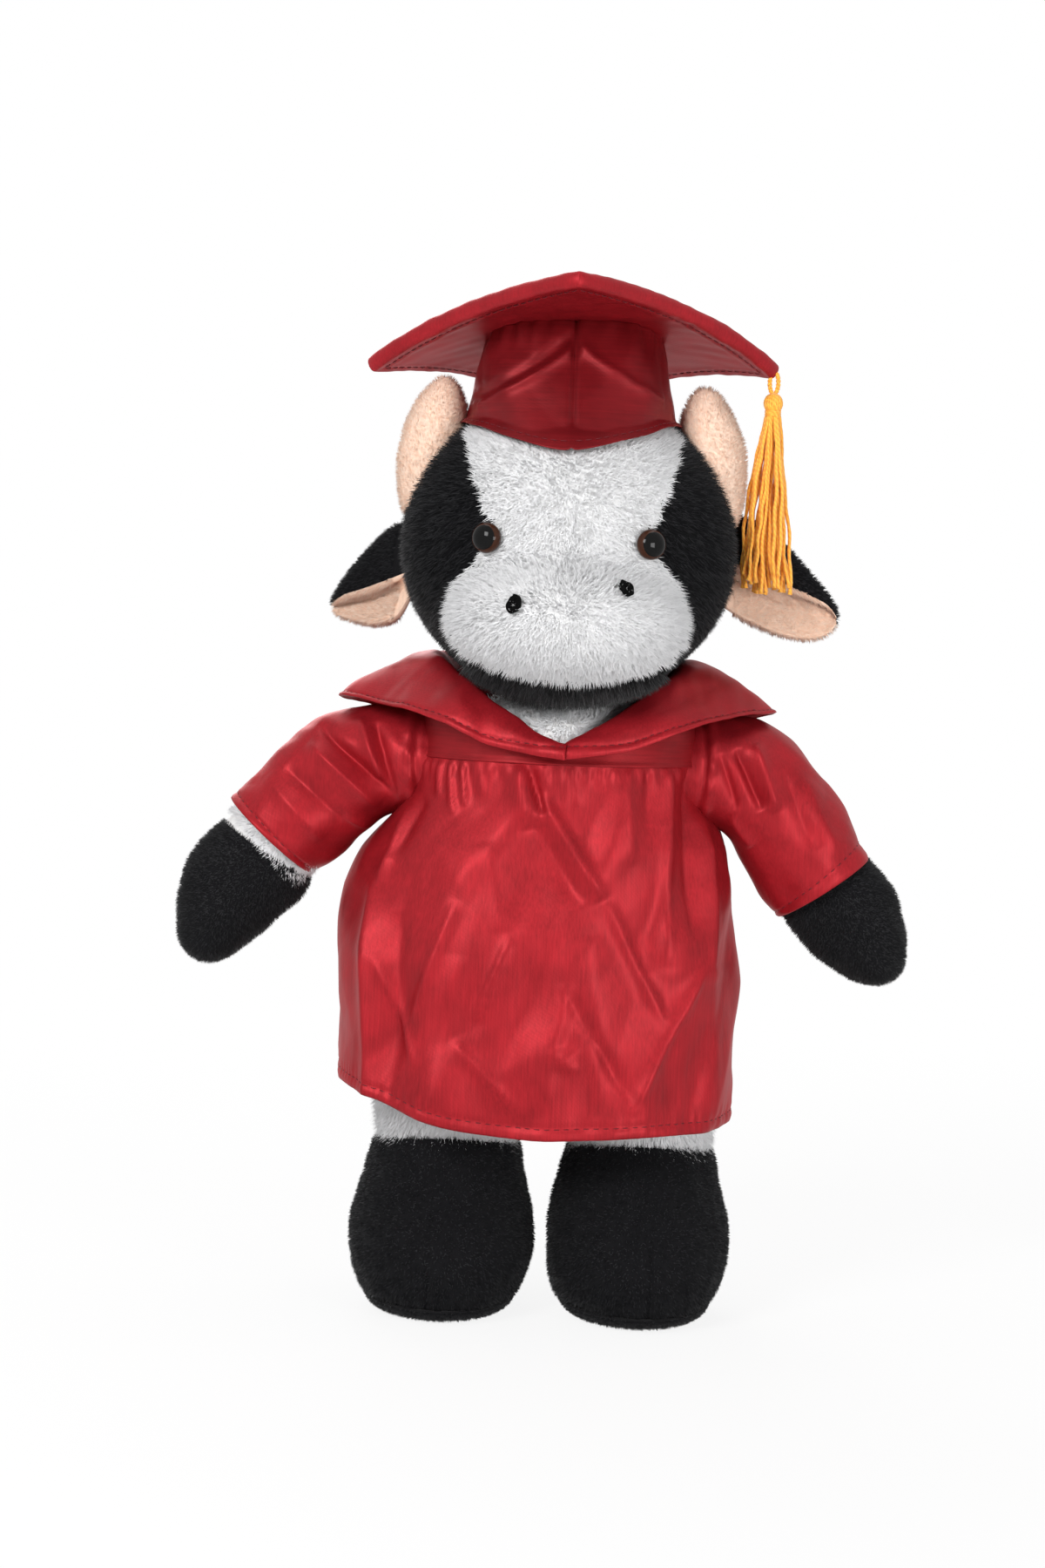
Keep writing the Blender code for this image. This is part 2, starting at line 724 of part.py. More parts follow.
def gown_ring(row, inset):
    """One level of the gown, its hanging folds deepening towards the hem"""
    along, width, depth = row
    hang = max(0.0, 1 - float(along) / 0.62)
    ring = []
    for i in range(gown_segments):
        angle = 2 * math.pi * i / gown_segments
        x = math.cos(angle)
        y = math.sin(angle)
        wave = math.cos(9 * angle + 0.6) + 0.5 * math.cos(5 * angle + 1.1)
        swell = fold_depth * hang ** 1.2 * wave * 0.5
        low = hem_height - hem_slant * x
        height = low + float(along) * (gown_top - low)
        ring.append(Vector((x * (width * gown_half_width - inset + swell) - hem_shift * hang,
                            y * (depth * gown_half_depth - inset + swell), height)))
    return ring


def gown_form(name, inset):
    """The gown's outer form, or with an inset its hollow, lower on top and open below"""
    rings = [gown_ring(row, inset) for row in smooth_rows(gown_shares, 12)]
    if inset:
        rings.insert(0, [point + Vector((0, 0, -overrun)) for point in rings[0]])
        for point in (point for ring in rings for point in ring):
            share = (point.z - yoke_seam_height) / (gown_top - yoke_seam_height)
            point.z -= inset * max(0.0, share)
    return loft(name, rings)


def neckline(name):
    """The V below the collar, as a wedge through the front of the gown only"""
    top = neck_height + overrun
    spread = neckline_half_width * (top - neckline_bottom) / (neck_height - neckline_bottom)
    bm = bmesh.new()
    rows = []
    for y in (-gown_half_depth - overrun, 0.0):
        rows.append([bm.verts.new((x, y, z)) for x, z in
                     ((-spread, top), (0.0, neckline_bottom), (spread, top))])
    bm.faces.new(rows[0])
    bm.faces.new(rows[1])
    bridge(bm, rows[0], rows[1])
    return mesh_from(bm, name)


def make_gown():
    wide = 2 * gown_half_width
    bar = cutter("gown_armholes", shoulder_bar("gown_armholes", sleeve_radius, armhole_x))
    hollow = cutter("gown_hollow", gown_form("gown_hollow", satin))
    bar_hollow = cutter("armhole_hollow", shoulder_bar("armhole_hollow", sleeve_radius - satin,
                                                       armhole_x + overrun))
    neck_hole = cutter("gown_neck_hole", cylinder(
        "gown_neck_hole", Vector((0, 0, neck_height - overrun)), Vector((0, 0, neck_height + overrun)),
        gown_neck_radius, 40))
    vee = cutter("gown_neckline", neckline("gown_neckline"))
    above = cutter("above_yoke_seam", box(
        "above_yoke_seam", Vector((-wide, -wide, yoke_seam_height - gap / 2)),
        Vector((wide, wide, neck_height + 2 * overrun))))
    below = cutter("below_yoke_seam", box(
        "below_yoke_seam", Vector((-wide, -wide, -overrun)),
        Vector((wide, wide, yoke_seam_height + gap / 2))))
    for name, side_box in (("gown_skirt", above), ("gown_yoke", below)):
        part = piece(name, gown_form(name, 0.0), red_satin, stand)
        combine(part, bar, "UNION")
        combine(part, hollow)
        combine(part, bar_hollow)
        combine(part, side_box)
        if name == "gown_yoke":
            combine(part, neck_hole)
            combine(part, vee)


def collar_rows(sign):
    rows = []
    for seam, fold, edge in collar_shares:
        row = []
        for first, second, steps in ((seam, fold, 1), (fold, edge, 3)):
            for step in range(steps):
                share = step / steps
                row.append([a + (b - a) * share for a, b in zip(first, second)])
        row.append(list(edge))
        rows.append(row)
    table = np.array(rows)
    flat = table.reshape(len(rows), -1)
    spread = np.array(smooth_rows(flat, collar_rows_count)).reshape(collar_rows_count, -1, 3)
    points = []
    for row in spread:
        points.append([Vector((sign * max(float(x) * collar_reach, gap), float(y) * collar_depth,
                               collar_top - float(z) * collar_drop)) for x, y, z in row])
    return points


def make_collar(side):
    name = f"gown_collar_{side}"
    piece(name, grid_sheet(name, collar_rows(side_sign[side]), collar_thickness), red_satin, stand)


def grown(outline, distance):
    """A closed outline moved outwards, each point along the middle of its two edges' normals"""
    moved = []
    count = len(outline)
    for i, (x, z) in enumerate(outline):
        before = Vector(outline[i - 1])
        after = Vector(outline[(i + 1) % count])
        first = (Vector((x, z)) - before).normalized()
        second = (after - Vector((x, z))).normalized()
        normal = Vector((-(first.y + second.y), first.x + second.x)).normalized()
        moved.append((x + normal.x * distance, z + normal.y * distance))
    return moved


def blaze_prism(name, grow):
    """The white face seen from the front, as a prism through the front of the head"""
    half = []
    for x, z in smooth_rows(blaze_shares, 23):
        rise = blaze_top * float(z) if z > 0 else muzzle_drop * float(z)
        half.append((float(x) * blaze_half_width, rise))
    outline = half + [(-x, z) for x, z in reversed(half[:-1])]
    outline = grown(outline, grow)
    bm = bmesh.new()
    rows = []
    for y in (-2 * head_half_width, grow - gap):
        rows.append([bm.verts.new(head_centre + Vector((x, y, z))) for x, z in outline])
    bm.faces.new(rows[0])
    bm.faces.new(rows[1])
    bridge(bm, rows[0], rows[1])
    return mesh_from(bm, name)


def make_head():
    hollow = cutter("head_hollow", head_form("head_hollow", plush, head_segments, head_rings))
    neck_cut = cutter("head_neck_cut", cylinder(
        "head_neck_cut", Vector((0, 0, neck_height - overrun)), Vector((0, 0, neck_height + gap)),
        neck_cut_radius, 40))
    hood = piece("head_hood", head_form("head_hood", 0.0, head_segments, head_rings), black_plush,
                 neck_pivot)
    face = piece("head_face", head_form("head_face", 0.0, head_segments, head_rings), white_plush,
                 neck_pivot)
    combine(face, cutter("face_prism", blaze_prism("face_prism", 0.0)), "INTERSECT")
    combine(hood, cutter("hood_prism", blaze_prism("hood_prism", gap)))
    stuffing = piece("head_stuffing", head_form("head_stuffing", plush + stuffing_gap, head_segments,
                                                head_rings), fibre_fill, neck_pivot)
    for item in (hood, face):
        combine(item, hollow)
    for item in (hood, face, stuffing):
        combine(item, neck_cut)
    drills = []
    pockets = []
    for side, sign in side_sign.items():
        drill, pocket = make_eye(side, sign)
        drills.append(drill)
        pockets.append(pocket)
        make_nostril(side, sign)
    combine(hood, cutter("eye_drills", joined("eye_drills", drills)))
    combine(stuffing, cutter("washer_pockets", joined("washer_pockets", pockets)))


def make_eye(side, sign):
    """A domed eye whose stem passes the skin and is held by a washer behind it"""
    x = sign * eye_spread
    seat = head_front_point(x, eye_rise)
    normal = skull_normal(seat)
    back = seat + normal * eye_seat_lift
    profile = [(0.0, eye_dome)]
    for angle in (70, 50, 30, 12):
        turn = math.radians(angle)
        profile.append((eye_radius * math.cos(turn), eye_dome * math.sin(turn)))
    profile += [(eye_radius, 0.0), (stem_radius, 0.0), (stem_radius, -stem_length), (0.0, -stem_length)]
    piece(f"eye_{side}", turned(f"eye_{side}", profile, small_segments + 2, back, normal), gloss_black,
          neck_pivot)
    hole = stem_radius + gap
    washer_top = -eye_seat_lift - plush - 4 * gap
    washer_foot = washer_top - washer_thickness
    ring = [(hole, washer_top), (washer_radius, washer_top), (washer_radius, washer_foot),
            (hole, washer_foot), (hole, washer_top)]
    piece(f"eye_washer_{side}", turned(f"eye_washer_{side}", ring, small_segments + 2, back, normal),
          washer_plastic, neck_pivot)
    reach = normal * overrun / 2
    drill = cylinder(f"eye_drill_{side}", back - reach, back + reach, hole, 10)
    pocket = cylinder(f"washer_pocket_{side}", back - normal * (stem_length + 2 * gap), back,
                      washer_radius + 2 * gap, 12)
    return drill, pocket


def make_nostril(side, sign):
    """A small oval sewn flat on the muzzle"""
    x = sign * nostril_spread
    seat = head_front_point(x, -nostril_drop)
    normal = muzzle_normal(seat)
    mesh = ball(f"nostril_{side}", Vector(), (nostril_half_width, nostril_half_height,
                                             nostril_thickness), small_segments, 6)
    turn = Vector((0, 0, 1)).rotation_difference(normal).to_matrix().to_4x4()
    place = Matrix.Translation(seat + normal * (nostril_thickness + gap)) @ turn
    mesh.transform(place)
    piece(f"nostril_{side}", mesh, gloss_black, neck_pivot)


def make_horn(side, sign, skull):
    """A stubby horn that leans in a little over its length"""
    foot = head_centre + Vector((sign * horn_spread, horn_back, horn_foot))
    rings = []
    across = Vector((1, 0, 0))
    along = Vector((0, 1, 0))
    for share in (0.0, 0.3, 0.55, 0.8):
        centre = foot + Vector((-sign * horn_lean * share ** 2, 0, share * horn_length))
        radius = horn_radius + (horn_tip_radius - horn_radius) * share ** 2.2
        rings.append(oval(centre, across, along, radius, radius, small_segments + 2))
    middle = rings[-1]
    top = sum(middle, Vector()) / len(middle)
    radius = (middle[0] - top).length
    for angle in (25, 50, 72):
        turn = math.radians(angle)
        rise = Vector((0, 0, radius * math.sin(turn)))
        rings.append(oval(top + rise, across, along, radius * math.cos(turn), radius * math.cos(turn),
                          small_segments + 2))
    horn = piece(f"horn_{side}", loft(f"horn_{side}", rings), peach_plush, neck_pivot)
    combine(horn, skull)


def ear_mesh(name, shares, half_thickness, forward, side, hinge, sweep):
    """A flat ear shape, turned upright on its hinge line and swept back"""
    points = [(float(out) * ear_length, float(down) * ear_height + ear_top)
              for out, down in smooth_rows(shares, 2 * len(shares) - 1)]
    mesh = outline_plate(name, points, half_thickness)
    upright = Matrix.Rotation(math.radians(90), 4, "X")
    push = Matrix.Translation(Vector((0, -forward, 0)))
    swing = Matrix.Rotation(math.radians(sweep), 4, "Z")
    mesh.transform(swing @ push @ upright)
    if side == "right":
        mesh.transform(Matrix.Diagonal((-1, 1, 1, 1)))
        mesh.flip_normals()
    mesh.transform(Matrix.Translation(hinge))
    return mesh


def make_ear(side, sign, sweep):
    thickness = ear_back_thickness + ear_lining_thickness + gap
    reach = head_half_width * math.sqrt(1 - (ear_hinge_back / head_half_depth) ** 2)
    hinge = Vector((sign * (reach + ear_root_radius + gap), ear_hinge_back, head_centre.z))
    body = pivot(f"ear_hinge_{side}", hinge, neck_pivot)
    back_forward = (ear_back_thickness - thickness) / 2
    lining_forward = (thickness - ear_lining_thickness) / 2
    back = piece(f"ear_{side}", ear_mesh(f"ear_{side}", ear_shares, ear_back_thickness / 2, back_forward,
                                         side, hinge, sweep), black_minky, body)
    low = ear_top + ear_shares[-1][1] * ear_height
    roll = cylinder(f"ear_root_{side}", hinge + Vector((0, 0, low + gap)),
                    hinge + Vector((0, 0, ear_top - gap)), ear_root_radius, small_segments)
    combine(back, cutter(f"ear_root_{side}", roll), "UNION")
    piece(f"ear_lining_{side}", ear_mesh(f"ear_lining_{side}", ear_lining_shares,
                                         ear_lining_thickness / 2, lining_forward, side, hinge, sweep),
          peach_plush, body)


def board_height(s, t):
    """How high the board's middle lies above the cap's origin: it sags to its corners"""
    return (board_rise - board_droop * (abs(s) / board_half_diagonal) ** board_droop_power
            - board_nose_droop * (t / board_half_diagonal) ** 2)


def cap_place(s, t, h):
    return cap_origin + Vector((s, 0, 0)) + cap_front * t + cap_up * h


def board_normal(s, t):
    """The board's upward direction, square to its sagging surface"""
    step = board_half_diagonal / 100
    right, left, back, front = (cap_place(s + i * step, t + j * step, board_height(s + i * step, t + j * step))
                                for i, j in ((-1, 0), (1, 0), (0, -1), (0, 1)))
    return (left - right).cross(back - front).normalized()


def board_place(s, t, rise):
    """A point at a distance above or below the board's middle surface"""
    return cap_place(s, t, board_height(s, t)) + board_normal(s, t) * rise


def board_sheet(name, rise, thickness, draw, body, material):
    rows = []
    reach = board_half_diagonal - draw
    for i in range(board_cells + 1):
        row = []
        for j in range(board_cells + 1):
            a = 2 * i / board_cells - 1
            b = 2 * j / board_cells - 1
            row.append(board_place(reach * (a - b) / 2, reach * (a + b) / 2, rise))
        rows.append(row)
    piece(name, grid_sheet(name, rows, thickness), material, body)


def make_cap(skull):
    body = pivot("cap_seat", cap_origin, neck_pivot)
    rise = (insert_thickness + cover_thickness) / 2 + 1.5 * gap
    board_sheet("cap_board_insert", 0.0, insert_thickness, insert_margin, body, stiff_board)
    board_sheet("cap_board_top", rise, cover_thickness, 0.0, body, red_satin)
    board_sheet("cap_board_underside", -rise, cover_thickness, 0.0, body, red_satin)
    ceiling = -rise - cover_thickness / 2 - 2 * gap
    rings = {0.0: [], crown_thickness: []}
    for inset, walls in rings.items():
        for share in (0.0, 0.5, 1.0):
            ring = []
            for i in range(round_segments):
                angle = 2 * math.pi * i / round_segments
                s = math.cos(angle) * (crown_half_width - inset)
                t = math.sin(angle) * (crown_half_depth - inset)
                top = board_height(s, t) + ceiling / board_normal(s, t).dot(cap_up)
                ring.append(cap_place(s, t, crown_foot + (top - crown_foot) * share))
            walls.append(ring)
    crown = piece("cap_crown", open_tube("cap_crown", *rings.values()), red_satin, body)
    combine(crown, skull)
    make_tassel(body, ceiling)


def make_tassel(cap_body, ceiling):
    """A loop under the board's left corner, a knot on it and a bundle of strands"""
    s = board_half_diagonal - tassel_inset
    corner = board_place(s, 0.0, ceiling)
    loop_centre = corner - Vector((0, 0, loop_radius + loop_cord_radius + gap))
    steps = 12
    bm = bmesh.new()
    rows = []
    for i in range(steps):
        angle = 2 * math.pi * i / steps
        outward = Vector((math.cos(angle), 0, math.sin(angle)))
        centre = loop_centre + outward * loop_radius
        rows.append([bm.verts.new(point) for point in
                     oval(centre, outward, Vector((0, 1, 0)), loop_cord_radius, loop_cord_radius, 8)])
    for i in range(steps):
        bridge(bm, rows[i], rows[(i + 1) % steps])
    mesh = mesh_from(bm, "tassel_loop")
    piece("tassel_loop", mesh, gold_cord, cap_body)
    swing = pivot("tassel_pivot", loop_centre, cap_body)
    knot_centre = loop_centre - Vector((0, 0, loop_radius + loop_cord_radius + gap + knot_radius))
    piece("tassel_knot", ball("tassel_knot", knot_centre, [knot_radius] * 3, small_segments, 8),
          gold_cord, swing)
    top = knot_centre - Vector((0, 0, knot_radius + gap))
    sway = pivot("strand_pivot", knot_centre, swing)
    rings = []
    for share in (0.0, 0.03, 0.2, 0.45, 0.7, 0.9, 1.0):
        opening = share ** 0.9
        half_width = strand_top_radius + (strand_half_width - strand_top_radius) * opening
        half_depth = strand_top_radius + (strand_half_depth - strand_top_radius) * opening
        centre = top - Vector((0, 0, share * strand_length))
        ring = []
        count = 2 * strand_ridges
        for i in range(count):
            angle = 2 * math.pi * i / count
            ridge = strand_ridge if i % 2 else 0.0
            ring.append(centre + Vector((math.cos(angle) * (half_width - ridge),
                                         math.sin(angle) * (half_depth - ridge), 0)))
        rings.append(ring)
    piece("tassel_strands", loft("tassel_strands", rings), gold_cord, sway)


make_torso()
for side_name in side_sign:
    make_leg(side_name)
    make_arm(side_name)
    make_collar(side_name)
make_gown()
make_head()
skull_cutter = cutter("skull", head_form("skull", -skull_gap, head_segments, head_rings))
for side_name, side_value in side_sign.items():
    make_horn(side_name, side_value, skull_cutter)
make_ear("left", 1, ear_left_sweep)
make_ear("right", -1, ear_right_sweep)
make_cap(skull_cutter)
bpy.context.view_layer.update()
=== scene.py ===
"""A standing plush cow in a red satin graduation gown and cap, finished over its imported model."""

import bmesh
import bpy
import mathutils
import numpy as np
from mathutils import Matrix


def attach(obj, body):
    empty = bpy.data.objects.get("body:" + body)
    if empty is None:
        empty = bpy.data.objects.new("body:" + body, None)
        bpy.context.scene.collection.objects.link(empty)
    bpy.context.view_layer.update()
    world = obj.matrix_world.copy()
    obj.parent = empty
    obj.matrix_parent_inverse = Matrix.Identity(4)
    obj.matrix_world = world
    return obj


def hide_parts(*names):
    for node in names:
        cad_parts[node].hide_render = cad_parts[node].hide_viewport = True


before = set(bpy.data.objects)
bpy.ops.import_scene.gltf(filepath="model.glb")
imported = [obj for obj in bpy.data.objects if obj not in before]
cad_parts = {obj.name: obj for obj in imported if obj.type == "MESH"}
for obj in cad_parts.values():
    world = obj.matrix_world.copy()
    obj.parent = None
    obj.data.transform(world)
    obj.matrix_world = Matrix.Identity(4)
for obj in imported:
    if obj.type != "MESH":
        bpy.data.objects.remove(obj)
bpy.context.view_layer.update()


# The studio: a pale floor and a white surround lit by large soft boxes, and the camera, which
# stands a little above the toy and leans a few degrees, so that the toy leans in its view.
mm = 0.001
camera_away = 1100 * mm
camera_rise = np.radians(3.0)
camera_lean = np.radians(2.4)
camera_aim = np.array((-8.0, -3.1, 172.5)) * mm


def place_camera():
    """The camera looks level with its aim from the front, raised and leaned by the angles above"""
    back = np.array((0, -np.cos(camera_rise), np.sin(camera_rise)))
    right = np.array((1, 0, 0))
    up = np.cross(back, right)
    turn = np.eye(4)
    turn[:3, 0] = right * np.cos(camera_lean) + up * np.sin(camera_lean)
    turn[:3, 1] = up * np.cos(camera_lean) - right * np.sin(camera_lean)
    turn[:3, 2] = back
    turn[:3, 3] = camera_aim + back * camera_away
    lens = bpy.data.cameras.new("portrait_camera")
    lens.sensor_width = 36
    lens.lens = 76.4
    camera = bpy.data.objects.new("portrait_camera", lens)
    bpy.context.scene.collection.objects.link(camera)
    camera.matrix_world = mathutils.Matrix(turn)
    bpy.context.scene.camera = camera


def hang_soft_box(name, place, size, power):
    """A square area lamp of that many metres, at a place in metres, facing the toy's middle"""
    lamp = bpy.data.lights.new(name, "AREA")
    lamp.shape = "SQUARE"
    lamp.size = size
    lamp.energy = power
    box = bpy.data.objects.new(name, lamp)
    box.location = place
    away = mathutils.Vector(place) - mathutils.Vector((0, 0, 0.17))
    box.rotation_euler = away.to_track_quat("Z", "Y").to_euler()
    bpy.context.scene.collection.objects.link(box)


def add_node(tree, kind, inputs=(), **traits):
    """A new shader node, its traits set by keyword and its inputs by name or number"""
    node = tree.nodes.new("ShaderNode" + kind)
    for trait, value in traits.items():
        setattr(node, trait, value)
    for socket, value in dict(inputs).items():
        node.inputs[socket].default_value = value
    return node


def wire(tree, *runs):
    """Links an output to an input for each run of node, output, node and input"""
    for source, output, target, socket in runs:
        tree.links.new(source.outputs[output], target.inputs[socket])


def new_finish(name, inputs):
    """A material, its node tree and its shader, with the shader's inputs set by name"""
    finish = bpy.data.materials.new(name)
    finish.use_nodes = True
    shader = finish.node_tree.nodes["Principled BSDF"]
    for socket, value in inputs.items():
        shader.inputs[socket].default_value = value
    return finish, finish.node_tree, shader


def white_behind(tree, lit, white_share):
    """What the camera, a mirror or glass sees of a surround: plain white mixed over its lit shader

    Away from the middle the share of white grows to all of it, so that the paper has no edge.
    """
    path = add_node(tree, "LightPath")
    seen = add_node(tree, "Math", operation="MAXIMUM")
    clear = add_node(tree, "Math", operation="MAXIMUM")
    share = add_node(tree, "Math", operation="MULTIPLY")
    place = add_node(tree, "TexCoord")
    away = add_node(tree, "VectorMath", operation="LENGTH")
    fade = add_node(tree, "MapRange", {"From Min": 0.25, "From Max": 0.75, "To Min": white_share})
    white = add_node(tree, "Background" if white_share == 1 else "Emission", {"Color": (1, 1, 1, 1)})
    mix = add_node(tree, "MixShader")
    wire(tree, (path, "Is Camera Ray", seen, 0), (path, "Is Glossy Ray", seen, 1), (seen, 0, clear, 0),
         (path, "Is Transmission Ray", clear, 1), (clear, 0, share, 0), (place, "Object", away, 0),
         (away, "Value", fade, "Value"), (fade, "Result", share, 1), (share, 0, mix, 0), (white, 0, mix, 2))
    tree.links.new(lit, mix.inputs[1])
    return mix.outputs[0]


def build_studio():
    """The white surround, the paper floor and the four lamps"""
    view = bpy.context.scene.view_settings
    view.view_transform = "Standard"
    world = bpy.data.worlds.new("white_studio")
    bpy.context.scene.world = world
    world.use_nodes = True
    tree = world.node_tree
    ambient = tree.nodes["Background"]
    ambient.inputs["Color"].default_value = (1, 1, 1, 1)
    ambient.inputs["Strength"].default_value = 0.31
    shown = white_behind(tree, ambient.outputs[0], 1)
    tree.links.new(shown, tree.nodes["World Output"].inputs["Surface"])
    floor_mesh = bpy.data.meshes.new("studio_floor")
    reach = 3.0
    floor_mesh.from_pydata([(-reach, -reach, 0), (reach, -reach, 0), (reach, reach, 0), (-reach, reach, 0)],
                           [], [(0, 1, 2, 3)])
    floor = bpy.data.objects.new("studio_floor", floor_mesh)
    bpy.context.scene.collection.objects.link(floor)
    paper, tree, shader = new_finish("floor_paper", {"Base Color": (0.90, 0.90, 0.90, 1), "Roughness": 0.9})
    shown = white_behind(tree, shader.outputs[0], 0.88)
    tree.links.new(shown, tree.nodes["Material Output"].inputs["Surface"])
    floor_mesh.materials.append(paper)
    hang_soft_box("key_box", (-0.65, -1.15, 0.76), 0.50, 13.6)
    hang_soft_box("fill_box", (0.80, -1.20, 0.20), 0.55, 10.4)
    hang_soft_box("top_box", (0.0, 0.30, 1.25), 0.8, 3.6)
    hang_soft_box("back_box", (-0.35, 1.25, 0.80), 0.8, 8.0)


place_camera()
build_studio()


# The head: black long-pile plush with a white plush face set into it, sewn into a bag and
# filled firm with fibre. The skin is drawn in by the pile that stands on it.
middle_x = 4.0
middle_y = -3.1
head_middle = np.array((0, 0, 250.7))
head_radii = np.array((55.0, 52.0, 51.0))
muzzle_radii = np.array((39.0, 34.0, 23.5))
muzzle_middle = np.array((0, -38.0, -26.0))
muzzle_blend = 4.0
skin_inset = 2.0
# The white face's half width at heights over the head's middle, from its foot to its top
face_heights = (-43.5, -42, -39, -35, -29, -22, -12, -4.5, 1.0, 4.0, 10, 20, 33, 45)
face_widths = (0, 13, 24, 32, 36.8, 37.8, 35.2, 29, 23.2, 23.4, 27.3, 31, 34.2, 34.5)
# The eyes' places in the front view, across and over the head's middle
eye_places = {"left": (24.8, 1.4), "right": (-26.0, 1.4)}


def put_piece(name, points, faces, body, finishes, chosen=None, smooth=True):
    """A mesh from points in mm round the toy's middle line and faces of equally many corners

    The middle line stands 4 mm to the left of the origin and 3.1 mm before it. chosen gives each
    face's number among the finishes.
    """
    mesh = bpy.data.meshes.new(name)
    places = (np.asarray(points, float) + (middle_x, middle_y, 0)) * mm
    faces = np.asarray(faces, np.int32)
    mesh.vertices.add(len(places))
    mesh.vertices.foreach_set("co", places.astype(np.float32).ravel())
    mesh.loops.add(faces.size)
    mesh.loops.foreach_set("vertex_index", faces.ravel())
    mesh.polygons.add(len(faces))
    mesh.polygons.foreach_set("loop_start", np.arange(0, faces.size, faces.shape[1], dtype=np.int32))
    mesh.polygons.foreach_set("use_smooth", np.full(len(faces), smooth))
    for finish in finishes:
        mesh.materials.append(finish)
    if chosen is not None:
        mesh.polygons.foreach_set("material_index", np.asarray(chosen, np.int32))
    mesh.update(calc_edges=True)
    mesh.validate()
    item = bpy.data.objects.new(name, mesh)
    bpy.context.scene.collection.objects.link(item)
    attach(item, body)
    return item


def round_turn(count):
    """Angles spread evenly over a full turn"""
    return np.linspace(0, 2 * np.pi, count, endpoint=False)


def grid_faces(rows, columns, wrapped=True):
    """Quads between neighbouring rows of points, each row an open line or a closed ring"""
    row = np.arange(rows - 1)[:, None] * columns
    column = np.arange(columns if wrapped else columns - 1)[None, :]
    beside = (column + 1) % columns
    quads = np.stack(np.broadcast_arrays(row + column, row + beside, row + columns + beside,
                                         row + columns + column), -1)
    return quads.reshape(-1, 4)


def ring_lid(first, columns, upwards):
    """A ring's flat end as a ladder of quads: its points k, k+1 and their mirror points"""
    k = np.arange(columns // 2 - 1)
    quads = first + np.stack((k, k + 1, columns - 2 - k, columns - 1 - k), -1)
    return quads if upwards else quads[:, ::-1]


def closed_faces(rows, columns):
    """The quads of a closed form through a stack of rings, counted from the foot to the top"""
    return np.concatenate((grid_faces(rows, columns), ring_lid(0, columns, False),
                           ring_lid((rows - 1) * columns, columns, True)))


def unit(vectors):
    """Vectors divided by their own lengths"""
    return vectors / np.maximum(np.linalg.norm(vectors, axis=-1, keepdims=True), 1e-9)


def point_normals(points, faces):
    """Each point's normal: the sum of its faces' diagonal cross products, made unit"""
    corners = points[faces]
    cross = np.cross(corners[:, 2] - corners[:, 0], corners[:, -1] - corners[:, 1])
    total = np.zeros_like(points, dtype=float)
    for corner in range(faces.shape[1]):
        np.add.at(total, faces[:, corner], cross)
    return unit(total)


def drift(places, size, seed):
    """Smooth wandering numbers in about -1 to 1: five sine waves in fixed random directions"""
    chance = np.random.default_rng(seed)
    ways = unit(chance.normal(size=(5, 3))) * (2 * np.pi / size) * chance.uniform(0.6, 1.6, (5, 1))
    phases = chance.uniform(0, 2 * np.pi, 5)
    return np.sin(places @ ways.T + phases).sum(-1) / 2.6


def head_reach(directions, inset):
    """How far the head's surface lies from its middle along unit directions

    It is where a smooth minimum of two ellipsoids' distances, the round head's and the muzzle's,
    is zero, found by halving.
    """
    round_head = head_radii - inset
    muzzle = muzzle_radii - inset
    low = np.zeros(directions.shape[:-1])
    high = np.full(directions.shape[:-1], 110.0)
    for _ in range(34):
        half = (low + high) / 2
        points = directions * half[..., None]
        skull = (np.linalg.norm(points / round_head, axis=-1) - 1) * round_head.mean()
        snout = (np.linalg.norm((points - muzzle_middle) / muzzle, axis=-1) - 1) * muzzle.mean()
        joined = np.minimum(skull, snout) - muzzle_blend * np.log1p(
            np.exp(-np.abs(skull - snout) / muzzle_blend))
        low = np.where(joined < 0, half, low)
        high = np.where(joined < 0, high, half)
    return (low + high) / 2


def head_front(x, z, inset=0.0):
    """The head's surface straight behind a place of its front view, by halving its depth"""
    low, high = 0.0, 104.0
    for _ in range(34):
        half = (low + high) / 2
        offset = np.array((x, -half, z), float)
        inside = np.linalg.norm(offset) < head_reach(unit(offset), inset)
        low, high = (half, high) if inside else (low, half)
    return head_middle + (x, -low, z)


def face_is_white(places):
    """Whether places on the head lie in the white face

    Its edge is a line of the front view, and it reaches less far back on the muzzle than on the brow.
    """
    offset = places - head_middle
    wander = 0.5 * drift(places, 9.0, 3)
    width = np.interp(offset[..., 2], face_heights, face_widths, left=-1, right=34.5)
    back = np.interp(offset[..., 2], (-12, 4), (-35.5, -8))
    return (np.abs(offset[..., 0]) < width + wander) & (offset[..., 1] < back + wander)


def colour_ramp(tree, dark, light, low=0.0, high=1.0):
    """A ramp from one colour at a low value to another at a high one"""
    ramp = add_node(tree, "ValToRGB")
    for element, position, colour in zip(ramp.color_ramp.elements, (low, high), (dark, light)):
        element.position = position
        element.color = (*colour, 1)
    return ramp


